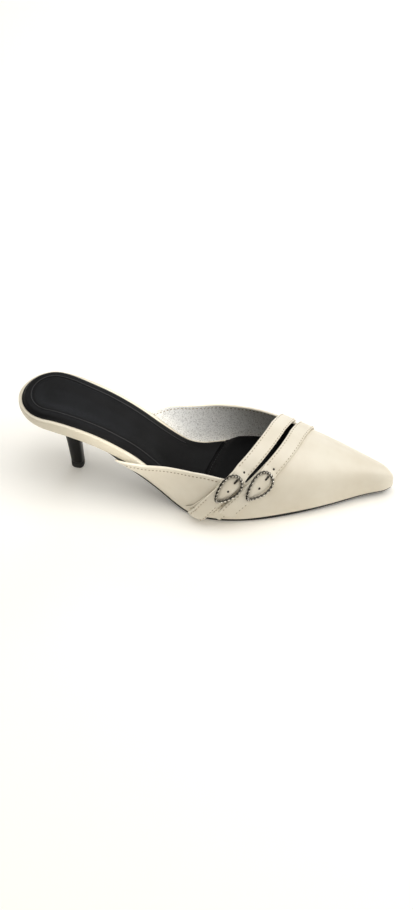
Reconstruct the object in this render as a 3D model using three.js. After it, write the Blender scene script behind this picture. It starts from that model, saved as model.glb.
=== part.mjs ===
// A pointed mule for the right foot, standing on a slim heel.
// The toe points along +X, the outer side with the buckles faces -Y, and +Z is up.
// The origin is on the floor, at the centre of the heel tip. Lengths are in millimetres.
import * as THREE from "three";
import { mergeVertices } from "three/addons/utils/BufferGeometryUtils.js";

// Overall sizes
const FOOTBED_LENGTH = 259;
const BALL_WIDTH = 74;
const HEEL_HEIGHT = 50;
const INSTEP_HEIGHT = 66;
const QUARTER_HEIGHT = 39;
const HEEL_SETBACK = 38;

// Thicknesses and fits
const CLEARANCE = 0.3;
const UPPER_WALL = 1.7;
const SOLE_THICKNESS = 2.4;
const SEAT_THICKNESS = 9.8;
const SOCK_THICKNESS = 2.8;
const SOCK_INSET = 2.4;
const SOCK_RIM_WIDTH = 8;
const SOCK_DISH = 1.5;
const SOCK_ROLL_WIDTH = 3;
const PAD_THICKNESS = 4.2;
const PAD_CROWN = 1.1;
const PAD_ROLL_WIDTH = 9;
const PAD_RAMP_LENGTH = 8;

// Rounding of the plan outline and of the toe box
const HEEL_ROUND = 24;
const TOE_ROUND = 6;
const TOE_TOP_ROUND = 11;
const TIP_CUT = 0.12;
const SEAT_UNDERCUT = 2.4;
const HEEL_UNDERCUT = 5.5;
const SEAT_TUCK_LENGTH = 34;
const SEAT_TUCK_SHARE = 0.9;
const SOLE_REAR_AT = 0.215;

// Straps, buckles and heel
const STRAP_WIDTH = 10.8;
const STRAP_THICKNESS = 1.5;
const TAB_WIDTH = 10;
const TAB_THICKNESS = 1.2;
const TAIL_FLARE = 2;
const TAIL_SLANT_REAR = 7;
const TAIL_SLANT_FRONT = 3;
const BUCKLE_LENGTH = 23.4;
const BUCKLE_WIDTH = 15.4;
const BUCKLE_WIRE = 2.1;
const PRONG_LENGTH = 3.8;
const PRONG_WIDTH = 1.6;
const HEEL_TOP_LENGTH = 36;
const HEEL_TOP_WIDTH = 34;
const HEEL_STEM_LENGTH = 11;
const HEEL_STEM_WIDTH = 11;
const HEEL_FOOT_LENGTH = 9.2;
const HEEL_FOOT_WIDTH = 9.6;
const HEEL_LEAN = 3;
const HEEL_TIP_HEIGHT = 5;

// The sole's plan and side view. "at" is a share of the footbed's length from the back of the heel,
// "half" and "middle" are shares of the ball width, "rise" is a share of the heel height, "sole" is a
// share of the sole's thickness, "board" of the seat's, and "trim" is how far the sole's edge stays
// inside the upper's, a share of the ball width.
const SOLE_SECTIONS = [
  { at: 0.0, half: 0.352, middle: 0.025, rise: 1.02, sole: 0.0, board: 1.0, trim: 0.12 },
  { at: 0.05, half: 0.358, middle: 0.021, rise: 1.026, sole: 0.0, board: 1.0, trim: 0.12 },
  { at: 0.1, half: 0.362, middle: 0.022, rise: 1.008, sole: 0.0, board: 1.0, trim: 0.12 },
  { at: 0.16, half: 0.361, middle: 0.022, rise: 0.922, sole: 0.1, board: 1.0, trim: 0.12 },
  { at: 0.24, half: 0.351, middle: 0.014, rise: 0.708, sole: 1.0, board: 1.03, trim: 0.09 },
  { at: 0.28, half: 0.347, middle: 0.008, rise: 0.598, sole: 1.0, board: 1.02, trim: 0.05 },
  { at: 0.32, half: 0.342, middle: 0.002, rise: 0.475, sole: 1.0, board: 0.97, trim: 0.015 },
  { at: 0.36, half: 0.346, middle: -0.006, rise: 0.338, sole: 1.0, board: 0.84, trim: 0.004 },
  { at: 0.4, half: 0.363, middle: -0.018, rise: 0.193, sole: 1.0, board: 0.67, trim: 0.0 },
  { at: 0.44, half: 0.397, middle: -0.032, rise: 0.065, sole: 1.0, board: 0.45, trim: 0.0 },
  { at: 0.48, half: 0.448, middle: -0.04, rise: 0.006, sole: 1.0, board: 0.3, trim: 0.0 },
  { at: 0.56, half: 0.509, middle: -0.019, rise: 0.0, sole: 1.0, board: 0.32, trim: 0.0 },
  { at: 0.64, half: 0.508, middle: 0.022, rise: 0.0, sole: 1.0, board: 0.34, trim: 0.0 },
  { at: 0.72, half: 0.446, middle: 0.048, rise: 0.008, sole: 1.0, board: 0.36, trim: 0.0 },
  { at: 0.8, half: 0.355, middle: 0.069, rise: 0.029, sole: 0.85, board: 0.38, trim: 0.003 },
  { at: 0.87, half: 0.252, middle: 0.086, rise: 0.05, sole: 0.72, board: 0.4, trim: 0.004 },
  { at: 0.93, half: 0.154, middle: 0.099, rise: 0.066, sole: 0.62, board: 0.4, trim: 0.004 },
  { at: 1.0, half: 0.048, middle: 0.088, rise: 0.085, sole: 0.5, board: 0.4, trim: 0.003 },
];

// The upper's form over the foot. "ridge" and "belly" are shares of the instep height: the height of the
// highest line above the floor, and of the widest line above the sole. "side" is the ridge's place across
// the shoe, a share of the ball width.
const FORM_SECTIONS = [
  { at: 0.2, ridge: 1.9, side: 0.07, belly: 0.1 },
  { at: 0.3, ridge: 1.6, side: 0.075, belly: 0.11 },
  { at: 0.4, ridge: 1.32, side: 0.08, belly: 0.12 },
  { at: 0.5, ridge: 1.06, side: 0.09, belly: 0.12 },
  { at: 0.6, ridge: 0.85, side: 0.1, belly: 0.12 },
  { at: 0.7, ridge: 0.675, side: 0.105, belly: 0.115 },
  { at: 0.8, ridge: 0.535, side: 0.105, belly: 0.11 },
  { at: 0.88, ridge: 0.43, side: 0.103, belly: 0.1 },
  { at: 0.94, ridge: 0.35, side: 0.1, belly: 0.09 },
  { at: 1.0, ridge: 0.28, side: 0.088, belly: 0.08 },
];

// The topline's height above the sole on each side, as a share of the quarter height.
const TOPLINE_SECTIONS = [
  { at: 0.275, outer: 0.02, inner: 0.02 },
  { at: 0.31, outer: 0.14, inner: 0.08 },
  { at: 0.355, outer: 0.335, inner: 0.38 },
  { at: 0.405, outer: 0.635, inner: 0.77 },
  { at: 0.455, outer: 0.865, inner: 0.96 },
  { at: 0.505, outer: 0.928, inner: 1.0 },
  { at: 0.555, outer: 0.877, inner: 0.966 },
  { at: 0.625, outer: 0.77, inner: 0.9 },
  { at: 0.74, outer: 0.7, inner: 0.84 },
];

// Places on the form are pairs: "along" is a share of the whole length, and "round" goes from 0 at the
// outer sole edge over the ridge at 0.5 to 1 at the inner sole edge.
const THROAT_OUTER_ALONG = 0.625;
const THROAT_INNER_ALONG = 0.738;
const THROAT_BOW = 0.024;
const STRAP_REAR_PATH = [
  { at: 0.0, along: 0.694, round: 0.97 },
  { at: 0.185, along: 0.7, round: 0.77 },
  { at: 0.376, along: 0.691, round: 0.565 },
  { at: 0.542, along: 0.649, round: 0.387 },
  { at: 0.698, along: 0.599, round: 0.263 },
  { at: 0.82, along: 0.549, round: 0.171 },
  { at: 0.893, along: 0.52, round: 0.124 },
  { at: 1.0, along: 0.477, round: 0.05 },
];
const STRAP_FRONT_PATH = [
  { at: 0.0, along: 0.747, round: 0.97 },
  { at: 0.155, along: 0.753, round: 0.8 },
  { at: 0.34, along: 0.747, round: 0.617 },
  { at: 0.555, along: 0.712, round: 0.411 },
  { at: 0.71, along: 0.671, round: 0.291 },
  { at: 0.845, along: 0.624, round: 0.192 },
  { at: 0.92, along: 0.594, round: 0.146 },
  { at: 1.0, along: 0.563, round: 0.1 },
];
const TAB_REAR_PATH = [
  { at: 0.0, along: 0.575, round: 0.225 },
  { at: 0.3, along: 0.553, round: 0.174 },
  { at: 0.6, along: 0.52, round: 0.122 },
  { at: 1.0, along: 0.473, round: 0.05 },
];
const TAB_FRONT_PATH = [
  { at: 0.0, along: 0.654, round: 0.25 },
  { at: 0.3, along: 0.627, round: 0.197 },
  { at: 0.6, along: 0.587, round: 0.143 },
  { at: 1.0, along: 0.543, round: 0.07 },
];

// Colours
const CREAM = { color: 0xe9e2d0, roughness: 0.42, metalness: 0 };
const BLACK_LEATHER = { color: 0x1d1d1f, roughness: 0.5, metalness: 0 };
const BLACK_GLOSS = { color: 0x111112, roughness: 0.3, metalness: 0 };
const BLACK_RUBBER = { color: 0x171717, roughness: 0.7, metalness: 0 };
const SILVER = { color: 0xb9b6b0, roughness: 0.25, metalness: 1 };

// Fineness of the facets
const SOLE_STRIDE = 6;
const SOCK_STRIDE = 4.5;
const WIRE_SIDES = 6;
const STRIP_COLUMNS = 6;
const THROAT_COLUMNS = 14;
const VAMP_ROWS = 20;
const QUARTER_ROWS = 14;
const STRAP_STEPS = 30;

const lerp = THREE.MathUtils.lerp;
const clamp = THREE.MathUtils.clamp;

// A smooth curve (natural cubic spline) through one column of a table.
function spline(rows, column) {
  const x = rows.map((row) => row.at);
  const y = rows.map((row) => row[column]);
  const last = x.length - 1;
  const bend = new Array(last + 1).fill(0);
  const load = new Array(last + 1).fill(0);
  for (let i = 1; i < last; i++) {
    const share = (x[i] - x[i - 1]) / (x[i + 1] - x[i - 1]);
    const pivot = share * bend[i - 1] + 2;
    const turn = (y[i + 1] - y[i]) / (x[i + 1] - x[i]) - (y[i] - y[i - 1]) / (x[i] - x[i - 1]);
    bend[i] = (share - 1) / pivot;
    load[i] = ((6 * turn) / (x[i + 1] - x[i - 1]) - share * load[i - 1]) / pivot;
  }
  bend[last] = 0;
  for (let i = last - 1; i >= 0; i--) bend[i] = bend[i] * bend[i + 1] + load[i];
  return (at) => {
    const place = clamp(at, x[0], x[last]);
    let i = 0;
    while (i < last - 1 && place > x[i + 1]) i++;
    const span = x[i + 1] - x[i];
    const b = (place - x[i]) / span;
    const a = 1 - b;
    return a * y[i] + b * y[i + 1] + (((a ** 3 - a) * bend[i] + (b ** 3 - b) * bend[i + 1]) * span ** 2) / 6;
  };
}

const half = spline(SOLE_SECTIONS, "half");
const middle = spline(SOLE_SECTIONS, "middle");
const rise = spline(SOLE_SECTIONS, "rise");
const soleShare = spline(SOLE_SECTIONS, "sole");
const boardShare = spline(SOLE_SECTIONS, "board");
const soleTrim = spline(SOLE_SECTIONS, "trim");
const ridge = spline(FORM_SECTIONS, "ridge");
const ridgeSide = spline(FORM_SECTIONS, "side");
const belly = spline(FORM_SECTIONS, "belly");
const toplineOuter = spline(TOPLINE_SECTIONS, "outer");
const toplineInner = spline(TOPLINE_SECTIONS, "inner");

// How far an outline has closed at a distance from its rounded end: 0 at the end, 1 past the radius.
function roundedEnd(distance, radius) {
  if (distance >= radius) return 1;
  return Math.sqrt(Math.max(0, 1 - (1 - distance / radius) ** 2));
}

// The plan outline: y of the edge on one side (-1 outer, 1 inner) at a length from the back of the heel,
// grown outwards all round by "grow".
function edgeY(length, side, grow) {
  const at = length / FOOTBED_LENGTH;
  const heelEnd = roundedEnd(length + grow, HEEL_ROUND + grow);
  const toeEnd = roundedEnd(FOOTBED_LENGTH + grow - length, TOE_ROUND + grow);
  return middle(at) * BALL_WIDTH + side * (half(at) * BALL_WIDTH + grow) * heelEnd * toeEnd;
}

const treadZ = (length) => Math.max(0, rise(length / FOOTBED_LENGTH) * HEEL_HEIGHT);
const soleTopZ = (length) =>
  treadZ(length) + Math.max(0, soleShare(length / FOOTBED_LENGTH)) * SOLE_THICKNESS;
const boardTopZ = (length) =>
  soleTopZ(length) + CLEARANCE + boardShare(length / FOOTBED_LENGTH) * SEAT_THICKNESS;

// The board's underside, which rounds up towards the back of the heel.
function boardBottomZ(length) {
  const tuck = (1 - roundedEnd(length, SEAT_TUCK_LENGTH)) * SEAT_THICKNESS * SEAT_TUCK_SHARE;
  return soleTopZ(length) + CLEARANCE + tuck;
}

// A point in the part's frame, from a length measured forwards from the back of the heel.
const place = (length, y, z) => new THREE.Vector3(length - HEEL_SETBACK, y, z);

const UPPER_GROW = CLEARANCE + UPPER_WALL;
const FEATHER_ANGLE = THREE.MathUtils.degToRad(20);
const CROWN_ANGLE = Math.PI / 2;
const SIDE_POWER = 0.92;

function formLength(along, lift) {
  return along * (FOOTBED_LENGTH + UPPER_GROW + lift - TIP_CUT);
}

// The heights that shape one section of the form: its sole edge, its widest line and its ridge.
function formHeights(along, lift) {
  const length = formLength(along, lift);
  const at = length / FOOTBED_LENGTH;
  const foot = soleTopZ(length) + CLEARANCE;
  const widest = foot + belly(at) * INSTEP_HEIGHT;
  const toeEnd = roundedEnd(FOOTBED_LENGTH + UPPER_GROW + lift - length, TOE_TOP_ROUND + lift);
  const crown = (ridge(at) * INSTEP_HEIGHT + lift - widest) * toeEnd;
  return { foot, widest, crown };
}

// How far down the feather is at a share of the way from the widest line to the sole edge. It starts as
// steep as the crown ends, so that the wall bends in smoothly.
function featherDrop(share, low, crown) {
  const start = Math.min((crown * FEATHER_ANGLE) / low, 1.9);
  return low * (start * share + (1 - start) * share * share);
}

function featherShare(drop, low, crown) {
  const start = Math.min((crown * FEATHER_ANGLE) / low, 1.9);
  const bend = 1 - start;
  if (Math.abs(bend) < 1e-6) return drop / low;
  return (Math.sqrt(start * start + (4 * bend * drop) / low) - start) / (2 * bend);
}

// The outer face of the upper, lifted outwards by "lift".
function form(along, round, lift) {
  if (round < 0) {
    const step = 0.04;
    const edge = form(along, 0, lift);
    const inside = form(along, step, lift);
    return edge.add(edge.clone().sub(inside).multiplyScalar(-round / step));
  }
  const length = formLength(along, lift);
  const { foot, widest, crown } = formHeights(along, lift);
  const side = round < 0.5 ? -1 : 1;
  const angle = lerp(-FEATHER_ANGLE, CROWN_ANGLE, 1 - Math.abs(2 * round - 1));
  const top = ridgeSide(length / FOOTBED_LENGTH) * BALL_WIDTH;
  const feather = edgeY(length, side, UPPER_GROW + lift);
  const centre = clamp(top, edgeY(length, -1, UPPER_GROW + lift), edgeY(length, 1, UPPER_GROW + lift));
  const reach = (feather - centre) / Math.cos(FEATHER_ANGLE) ** SIDE_POWER;
  const y = centre + reach * Math.cos(angle) ** SIDE_POWER;
  const z =
    angle >= 0
      ? widest + crown * Math.sin(angle)
      : widest - featherDrop(-angle / FEATHER_ANGLE, widest - foot, crown);
  return place(length, y, z);
}

// The "round" at which one side of the form is a given height above the sole edge.
function roundAtHeight(along, height, side) {
  const { foot, widest, crown } = formHeights(along, 0);
  const low = widest - foot;
  const angle =
    height <= low
      ? -FEATHER_ANGLE * featherShare(low - height, low, crown)
      : Math.asin(clamp((height - low) / crown, 0, 1));
  const share = (angle + FEATHER_ANGLE) / (CROWN_ANGLE + FEATHER_ANGLE) / 2;
  return side < 0 ? share : 1 - share;
}

// Walks over the form from a spot, and returns the (along, round) it reaches. "direction" is a step in
// (along, round); the walk goes "ahead" millimetres along it and "aside" square to it.
const WALK_STRIDE = 0.8;
function walk(spot, direction, ahead, aside) {
  const distance = Math.hypot(ahead, aside);
  const strides = Math.ceil(distance / WALK_STRIDE);
  const reached = { ...spot };
  const heading = new THREE.Vector3();
  for (let i = 0; i < strides; i++) {
    const small = 1e-4;
    const here = form(reached.along, reached.round, 0);
    const byAlong = form(reached.along + small, reached.round, 0).sub(here).divideScalar(small);
    const byRound = form(reached.along, reached.round + small, 0).sub(here).divideScalar(small);
    const normal = byAlong.clone().cross(byRound).normalize();
    if (i === 0) {
      const forward = byAlong.clone().multiplyScalar(direction.along);
      forward.addScaledVector(byRound, direction.round).normalize();
      heading.copy(forward).multiplyScalar(ahead).addScaledVector(normal.clone().cross(forward), aside);
    }
    heading.addScaledVector(normal, -heading.dot(normal)).setLength(distance / strides);
    const aa = byAlong.dot(byAlong);
    const ar = byAlong.dot(byRound);
    const rr = byRound.dot(byRound);
    const wa = heading.dot(byAlong);
    const wr = heading.dot(byRound);
    const size = aa * rr - ar * ar;
    reached.along += (wa * rr - wr * ar) / size;
    reached.round += (wr * aa - wa * ar) / size;
  }
  return reached;
}

// A path over the form: where it is and which way it goes at a share of its whole length. A strap's path
// also holds the share at which its buckle sits.
function follow(path, buckleAt = 0) {
  const along = spline(path, "along");
  const round = spline(path, "round");
  const step = 1e-3;
  const spot = (at) => ({ along: along(at), round: round(at) });
  const direction = (at) => ({
    along: along(at + step) - along(at - step),
    round: round(at + step) - round(at - step),
  });
  let length = 0;
  for (let i = 0; i < 100; i++) {
    const [a, b] = [spot(i / 100), spot((i + 1) / 100)];
    length += form(a.along, a.round, 0).distanceTo(form(b.along, b.round, 0));
  }
  return { spot, direction, length, buckleAt };
}

// A closed solid between two sheets with the same quads: an outer and an inner list of points.
function solidBetween(outer, inner, quads) {
  const positions = [...outer, ...inner].flatMap((p) => [p.x, p.y, p.z]);
  const index = [];
  const used = new Map();
  const shift = outer.length;
  const addQuad = (a, b, c, d) => index.push(a, b, c, a, c, d);
  for (const quad of quads) {
    addQuad(...quad);
    addQuad(...quad.map((i) => i + shift).reverse());
    quad.forEach((a, i) => used.set(`${a},${quad[(i + 1) % 4]}`, [a, quad[(i + 1) % 4]]));
  }
  for (const [a, b] of used.values()) {
    if (!used.has(`${b},${a}`)) addQuad(b, a, a + shift, b + shift);
  }
  return closedGeometry(positions, index);
}

// Merges shared vertices, drops the triangles that this empties, and turns the faces outwards.
function closedGeometry(positions, index) {
  const geometry = new THREE.BufferGeometry();
  geometry.setAttribute("position", new THREE.Float32BufferAttribute(positions, 3));
  geometry.setIndex(index);
  const merged = mergeVertices(geometry, 1e-3);
  const corners = merged.index.array;
  const point = (i) => new THREE.Vector3().fromBufferAttribute(merged.attributes.position, i);
  const kept = [];
  let volume = 0;
  for (let i = 0; i < corners.length; i += 3) {
    const [a, b, c] = corners.slice(i, i + 3);
    if (a === b || b === c || c === a) continue;
    kept.push([a, b, c]);
    volume += point(a).dot(point(b).cross(point(c)));
  }
  merged.setIndex(kept.flatMap((triangle) => (volume < 0 ? triangle.reverse() : triangle)));
  merged.computeVertexNormals();
  return merged;
}

// The quads of a grid of rows and columns whose points are listed row by row.
function gridQuads(rows, columns, wrap = false) {
  const quads = [];
  const width = wrap ? columns : columns + 1;
  for (let i = 0; i < rows; i++) {
    for (let j = 0; j < columns; j++) {
      const next = (j + 1) % width;
      quads.push([i * width + j, i * width + next, (i + 1) * width + next, (i + 1) * width + j]);
    }
  }
  return quads;
}

// A solid through closed loops of points, with flat ends.
function loft(loops) {
  const count = loops[0].length;
  const positions = loops.flat().flatMap((p) => [p.x, p.y, p.z]);
  const index = gridQuads(loops.length - 1, count, true).flatMap(([a, b, c, d]) => [a, b, c, a, c, d]);
  const last = (loops.length - 1) * count;
  for (let i = 1; i < count - 1; i++) {
    index.push(0, i + 1, i);
    index.push(last, last + i, last + i + 1);
  }
  return closedGeometry(positions, index);
}

function mesh(name, geometry, finish) {
  const made = new THREE.Mesh(geometry, new THREE.MeshStandardMaterial(finish));
  made.name = name;
  return made;
}

// Stations between two lengths, closer together where an end of the outline is round.
function stations(from, to, startRadius, endRadius, stride) {
  const corner = 9;
  const turn = (i) => 1 - Math.cos((i / corner) * (Math.PI / 2));
  const list = [from];
  if (startRadius > 0) for (let i = 1; i <= corner; i++) list.push(from + startRadius * turn(i));
  const first = list.at(-1);
  const last = to - endRadius;
  const strides = Math.round((last - first) / stride);
  for (let i = 1; i <= strides; i++) list.push(lerp(first, last, i / strides));
  if (endRadius > 0) for (let i = corner - 1; i >= 0; i--) list.push(to - endRadius * turn(i));
  return list;
}

function makeOutsole() {
  const rear = SOLE_REAR_AT * FOOTBED_LENGTH;
  const tip = FOOTBED_LENGTH + UPPER_GROW - soleTrim(1) * BALL_WIDTH - TIP_CUT;
  const lengths = stations(rear, tip, 0, TOE_ROUND, SOLE_STRIDE);
  const top = [];
  const bottom = [];
  const columns = 4;
  for (const length of lengths) {
    const grow = UPPER_GROW - soleTrim(length / FOOTBED_LENGTH) * BALL_WIDTH;
    for (let j = 0; j <= columns; j++) {
      const y = lerp(edgeY(length, -1, grow), edgeY(length, 1, grow), j / columns);
      top.push(place(length, y, soleTopZ(length)));
      bottom.push(place(length, y, treadZ(length)));
    }
  }
  return mesh("outsole", solidBetween(top, bottom, gridQuads(lengths.length - 1, columns)), BLACK_RUBBER);
}

// The wrapped footbed board: flat on top, and rounded in towards its underside like a shallow bowl.
function makeBoard() {
  const lengths = stations(TIP_CUT, FOOTBED_LENGTH - TIP_CUT, HEEL_ROUND, TOE_ROUND, SOLE_STRIDE);
  const corner = 5;
  const loops = lengths.map((length) => {
    const top = boardTopZ(length);
    const bottom = boardBottomZ(length);
    const outer = edgeY(length, -1, 0);
    const inner = edgeY(length, 1, 0);
    const atHeel = HEEL_UNDERCUT * (1 - THREE.MathUtils.smoothstep(length, 0, SEAT_TUCK_LENGTH));
    const wanted = SEAT_UNDERCUT * Math.min(1, (top - bottom) / SEAT_THICKNESS) + atHeel;
    const undercut = Math.min(wanted, (inner - outer) / 4);
    const loop = [];
    for (const side of [-1, 1]) {
      const edge = side < 0 ? outer : inner;
      const arc = [place(length, edge, top)];
      for (let i = 0; i <= corner; i++) {
        const angle = (i / corner) * (Math.PI / 2);
        const y = edge - side * undercut * (1 - Math.cos(angle));
        arc.push(place(length, y, lerp(top, bottom, 0.45 + 0.55 * Math.sin(angle))));
      }
      loop.push(...(side < 0 ? arc : arc.reverse()));
    }
    return loop;
  });
  return mesh("insole_board", loft(loops), CREAM);
}

// Where the seam crosses the sock at the ball: a length for a place across the shoe.
const SEAM_OUTER_AT = 0.49;
const SEAM_INNER_AT = 0.545;
function seamLength(y) {
  const across = clamp((y + BALL_WIDTH / 2) / BALL_WIDTH, 0, 1);
  return lerp(SEAM_OUTER_AT, SEAM_INNER_AT, across ** 2) * FOOTBED_LENGTH;
}

// How far a place on the sock is from the sock's edge.
function sockEdgeDistance(length, y) {
  const outer = edgeY(length, -1, -SOCK_INSET);
  const inner = edgeY(length, 1, -SOCK_INSET);
  const lateral = Math.min(y - outer, inner - y);
  const behind = HEEL_ROUND - length;
  if (behind <= 0) return lateral;
  const aside = y - middle(length / FOOTBED_LENGTH) * BALL_WIDTH;
  const widest = half(length / FOOTBED_LENGTH) * BALL_WIDTH - SOCK_INSET;
  const reach = Math.hypot(behind, aside);
  const share = Math.hypot(behind / (HEEL_ROUND - SOCK_INSET), aside / widest);
  return reach / Math.max(share, 1e-6) - reach;
}

// A sheet of the sock between two end lines that may bow with the place across the shoe. Its columns
// keep their distance from the edge, so that the rim keeps its width.
function sockSheet(lengths, seamAtStart, seamAtEnd, height) {
  const insets = [0, 0.13, 0.36, 0.85, 1.15, 1.6, 2.1].map((share) => share * SOCK_RIM_WIDTH);
  const top = [];
  const bottom = [];
  const first = lengths[0];
  const last = lengths.at(-1);
  const columns = 2 * insets.length;
  for (const base of lengths) {
    const share = (base - first) / (last - first);
    for (let j = 0; j <= columns; j++) {
      const side = j < columns / 2 ? -1 : 1;
      const step = side < 0 ? j : columns - j;
      let length = base;
      let y = 0;
      for (let pass = 0; pass < 3; pass++) {
        const outer = edgeY(length, -1, -SOCK_INSET);
        const inner = edgeY(length, 1, -SOCK_INSET);
        const half = (inner - outer) / 2;
        const reach = step === insets.length ? half : half * Math.min(1, insets[step] / (2.4 * SOCK_RIM_WIDTH));
        const inset = step === insets.length ? half : Math.max(reach, Math.min(insets[step], half * 0.9));
        y = side < 0 ? outer + inset : inner - inset;
        const bowStart = seamAtStart ? seamLength(y) + CLEARANCE / 2 - first : 0;
        const bowEnd = seamAtEnd ? seamLength(y) - CLEARANCE / 2 - last : 0;
        length = base + lerp(bowStart, bowEnd, share);
      }
      const lower = boardTopZ(length) + CLEARANCE;
      top.push(place(length, y, lower + height(length, y)));
      bottom.push(place(length, y, lower));
    }
  }
  return solidBetween(top, bottom, gridQuads(lengths.length - 1, columns));
}

function makeSock() {
  const start = SOCK_INSET + TIP_CUT;
  const end = SEAM_OUTER_AT * FOOTBED_LENGTH;
  const height = (length, y) => {
    const distance = Math.max(0, sockEdgeDistance(length, y));
    const roll = lerp(0.35, 1, THREE.MathUtils.smoothstep(distance, 0, SOCK_ROLL_WIDTH));
    const dish = THREE.MathUtils.smoothstep(distance, SOCK_RIM_WIDTH, SOCK_RIM_WIDTH * 2);
    return SOCK_THICKNESS * roll - SOCK_DISH * dish;
  };
  const lengths = stations(start, end, HEEL_ROUND - SOCK_INSET, 0, SOCK_STRIDE);
  return mesh("sock_rear", sockSheet(lengths, false, true, height), BLACK_LEATHER);
}

function makeForepad() {
  const start = SEAM_OUTER_AT * FOOTBED_LENGTH;
  const end = FOOTBED_LENGTH - SOCK_INSET - TIP_CUT;
  const height = (length, y) => {
    const ahead = length - seamLength(y);
    const inside = Math.min(sockEdgeDistance(length, y), ahead);
    const puff = THREE.MathUtils.smoothstep(inside, 0, PAD_ROLL_WIDTH);
    const ramp = clamp(ahead / PAD_RAMP_LENGTH, 0, 1);
    return lerp(SOCK_THICKNESS - SOCK_DISH, PAD_THICKNESS, ramp) + PAD_CROWN * puff;
  };
  const lengths = stations(start, end, 0, TOE_ROUND, SOCK_STRIDE * 1.5);
  return mesh("sock_front", sockSheet(lengths, true, false, height), BLACK_LEATHER);
}

// The upper: one wall over the toe and back along both sides, open at the throat, the back and underneath.
function makeUpper() {
  const spots = [];
  const quads = [];
  const columns = 2 * STRIP_COLUMNS + THROAT_COLUMNS;
  const outerTop = (along) => roundAtHeight(along, toplineOuter(along) * QUARTER_HEIGHT, -1);
  const innerTop = (along) => roundAtHeight(along, toplineInner(along) * QUARTER_HEIGHT, 1);
  const rear = TOPLINE_SECTIONS[0].at;

  const throatEdge = (column) => {
    const across = clamp((column - STRIP_COLUMNS) / THROAT_COLUMNS, 0, 1);
    const along = lerp(THROAT_OUTER_ALONG, THROAT_INNER_ALONG, across) + THROAT_BOW * 4 * across * (1 - across);
    const outer = outerTop(THROAT_OUTER_ALONG);
    const inner = innerTop(THROAT_INNER_ALONG);
    if (column < STRIP_COLUMNS) return { along, round: (outer * column) / STRIP_COLUMNS };
    if (column > columns - STRIP_COLUMNS) {
      return { along, round: 1 - ((1 - inner) * (columns - column)) / STRIP_COLUMNS };
    }
    return { along, round: lerp(outer, inner, across) };
  };

  for (let i = 0; i <= VAMP_ROWS; i++) {
    const share = 1 - (1 - i / VAMP_ROWS) ** 1.5;
    for (let j = 0; j <= columns; j++) {
      const start = throatEdge(j);
      spots.push({
        along: lerp(start.along, 1, share),
        round: lerp(start.round, j / columns, share),
      });
    }
  }
  quads.push(...gridQuads(VAMP_ROWS, columns));

  // The nose: the last row folds onto itself and is closed across.
  const nose = VAMP_ROWS * (columns + 1);
  for (let j = 0; j < columns / 2 - 1; j++) {
    quads.push([nose + j, nose + j + 1, nose + columns - j - 1, nose + columns - j]);
  }

  // The two quarters run back from the throat's corners.
  const addQuarter = (firstColumn, corner, roundAt) => {
    let ahead = Array.from({ length: STRIP_COLUMNS + 1 }, (_, j) => firstColumn + j);
    for (let i = 1; i <= QUARTER_ROWS; i++) {
      const along = lerp(corner, rear, i / QUARTER_ROWS);
      const row = ahead.map((_, j) => {
        spots.push({ along, round: roundAt(along, j / STRIP_COLUMNS) });
        return spots.length - 1;
      });
      for (let j = 0; j < STRIP_COLUMNS; j++) quads.push([row[j], row[j + 1], ahead[j + 1], ahead[j]]);
      ahead = row;
    }
  };
  addQuarter(0, THROAT_OUTER_ALONG, (along, share) => outerTop(along) * share);
  addQuarter(columns - STRIP_COLUMNS, THROAT_INNER_ALONG, (along, share) =>
    lerp(innerTop(along), 1, share),
  );

  const outside = spots.map((spot) => form(spot.along, spot.round, 0));
  const inside = spots.map((spot) => form(spot.along, spot.round, -UPPER_WALL));
  return mesh("upper", solidBetween(outside, inside, quads), CREAM);
}

// A strip of leather along a path on the form. "liftAt" is its height over the form, and "slant" is how
// far one corner of its last end is cut back.
function strip(path, steps, width, liftAt, thickness, slant) {
  const outer = [];
  const inner = [];
  const columns = 4;
  for (let i = 0; i <= steps; i++) {
    for (let j = 0; j <= columns; j++) {
      const across = lerp(-1, 1, j / columns);
      const cut = (slant / path.length) * (-across / 2 - 0.5) * (i / steps) ** 6;
      const at = i / steps + cut;
      const edge = walk(path.spot(at), path.direction(at), 0, (across * width) / 2);
      outer.push(form(edge.along, edge.round, liftAt(at) + thickness));
      inner.push(form(edge.along, edge.round, liftAt(at)));
    }
  }
  return solidBetween(outer, inner, gridQuads(steps, columns));
}

// How high a strap lies over the form: it steps up over the tab behind its buckle, and its tail flares.
const REAR_BUCKLE_AT = 0.773;
const FRONT_BUCKLE_AT = 0.788;
const TAB_LEAD = 0.06;
const TAIL_LAG = 0.072;
function strapLift(path, at) {
  const tabTop = path.buckleAt - TAB_LEAD;
  const tail = path.buckleAt + TAIL_LAG;
  const overTab = THREE.MathUtils.smoothstep(at, tabTop - 0.05, tabTop);
  const flare = Math.max(0, (at - tail) / (1 - tail)) ** 2;
  return CLEARANCE + overTab * (TAB_THICKNESS + CLEARANCE) + flare * TAIL_FLARE;
}

function makeStrap(name, path, slant) {
  const shape = strip(path, STRAP_STEPS, STRAP_WIDTH, (at) => strapLift(path, at), STRAP_THICKNESS, slant);
  return mesh(name, shape, CREAM);
}

function makeTab(name, path) {
  return mesh(name, strip(path, 8, TAB_WIDTH, () => CLEARANCE, TAB_THICKNESS, 0), CREAM);
}

// The buckle's ring in its own plane: a leaf with a round end ahead and a point behind.
const RING_STEPS = 36;
function ringPoint(turn) {
  const angle = turn * 2 * Math.PI;
  const narrowing = 0.5 * (1 + Math.cos(angle));
  const ahead = (Math.cos(angle) * (BUCKLE_LENGTH - BUCKLE_WIRE)) / 2;
  const aside = Math.sin(angle) * (BUCKLE_WIDTH - BUCKLE_WIRE) * (0.24 + 0.34 * narrowing ** 0.7);
  return { ahead, aside };
}

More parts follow.
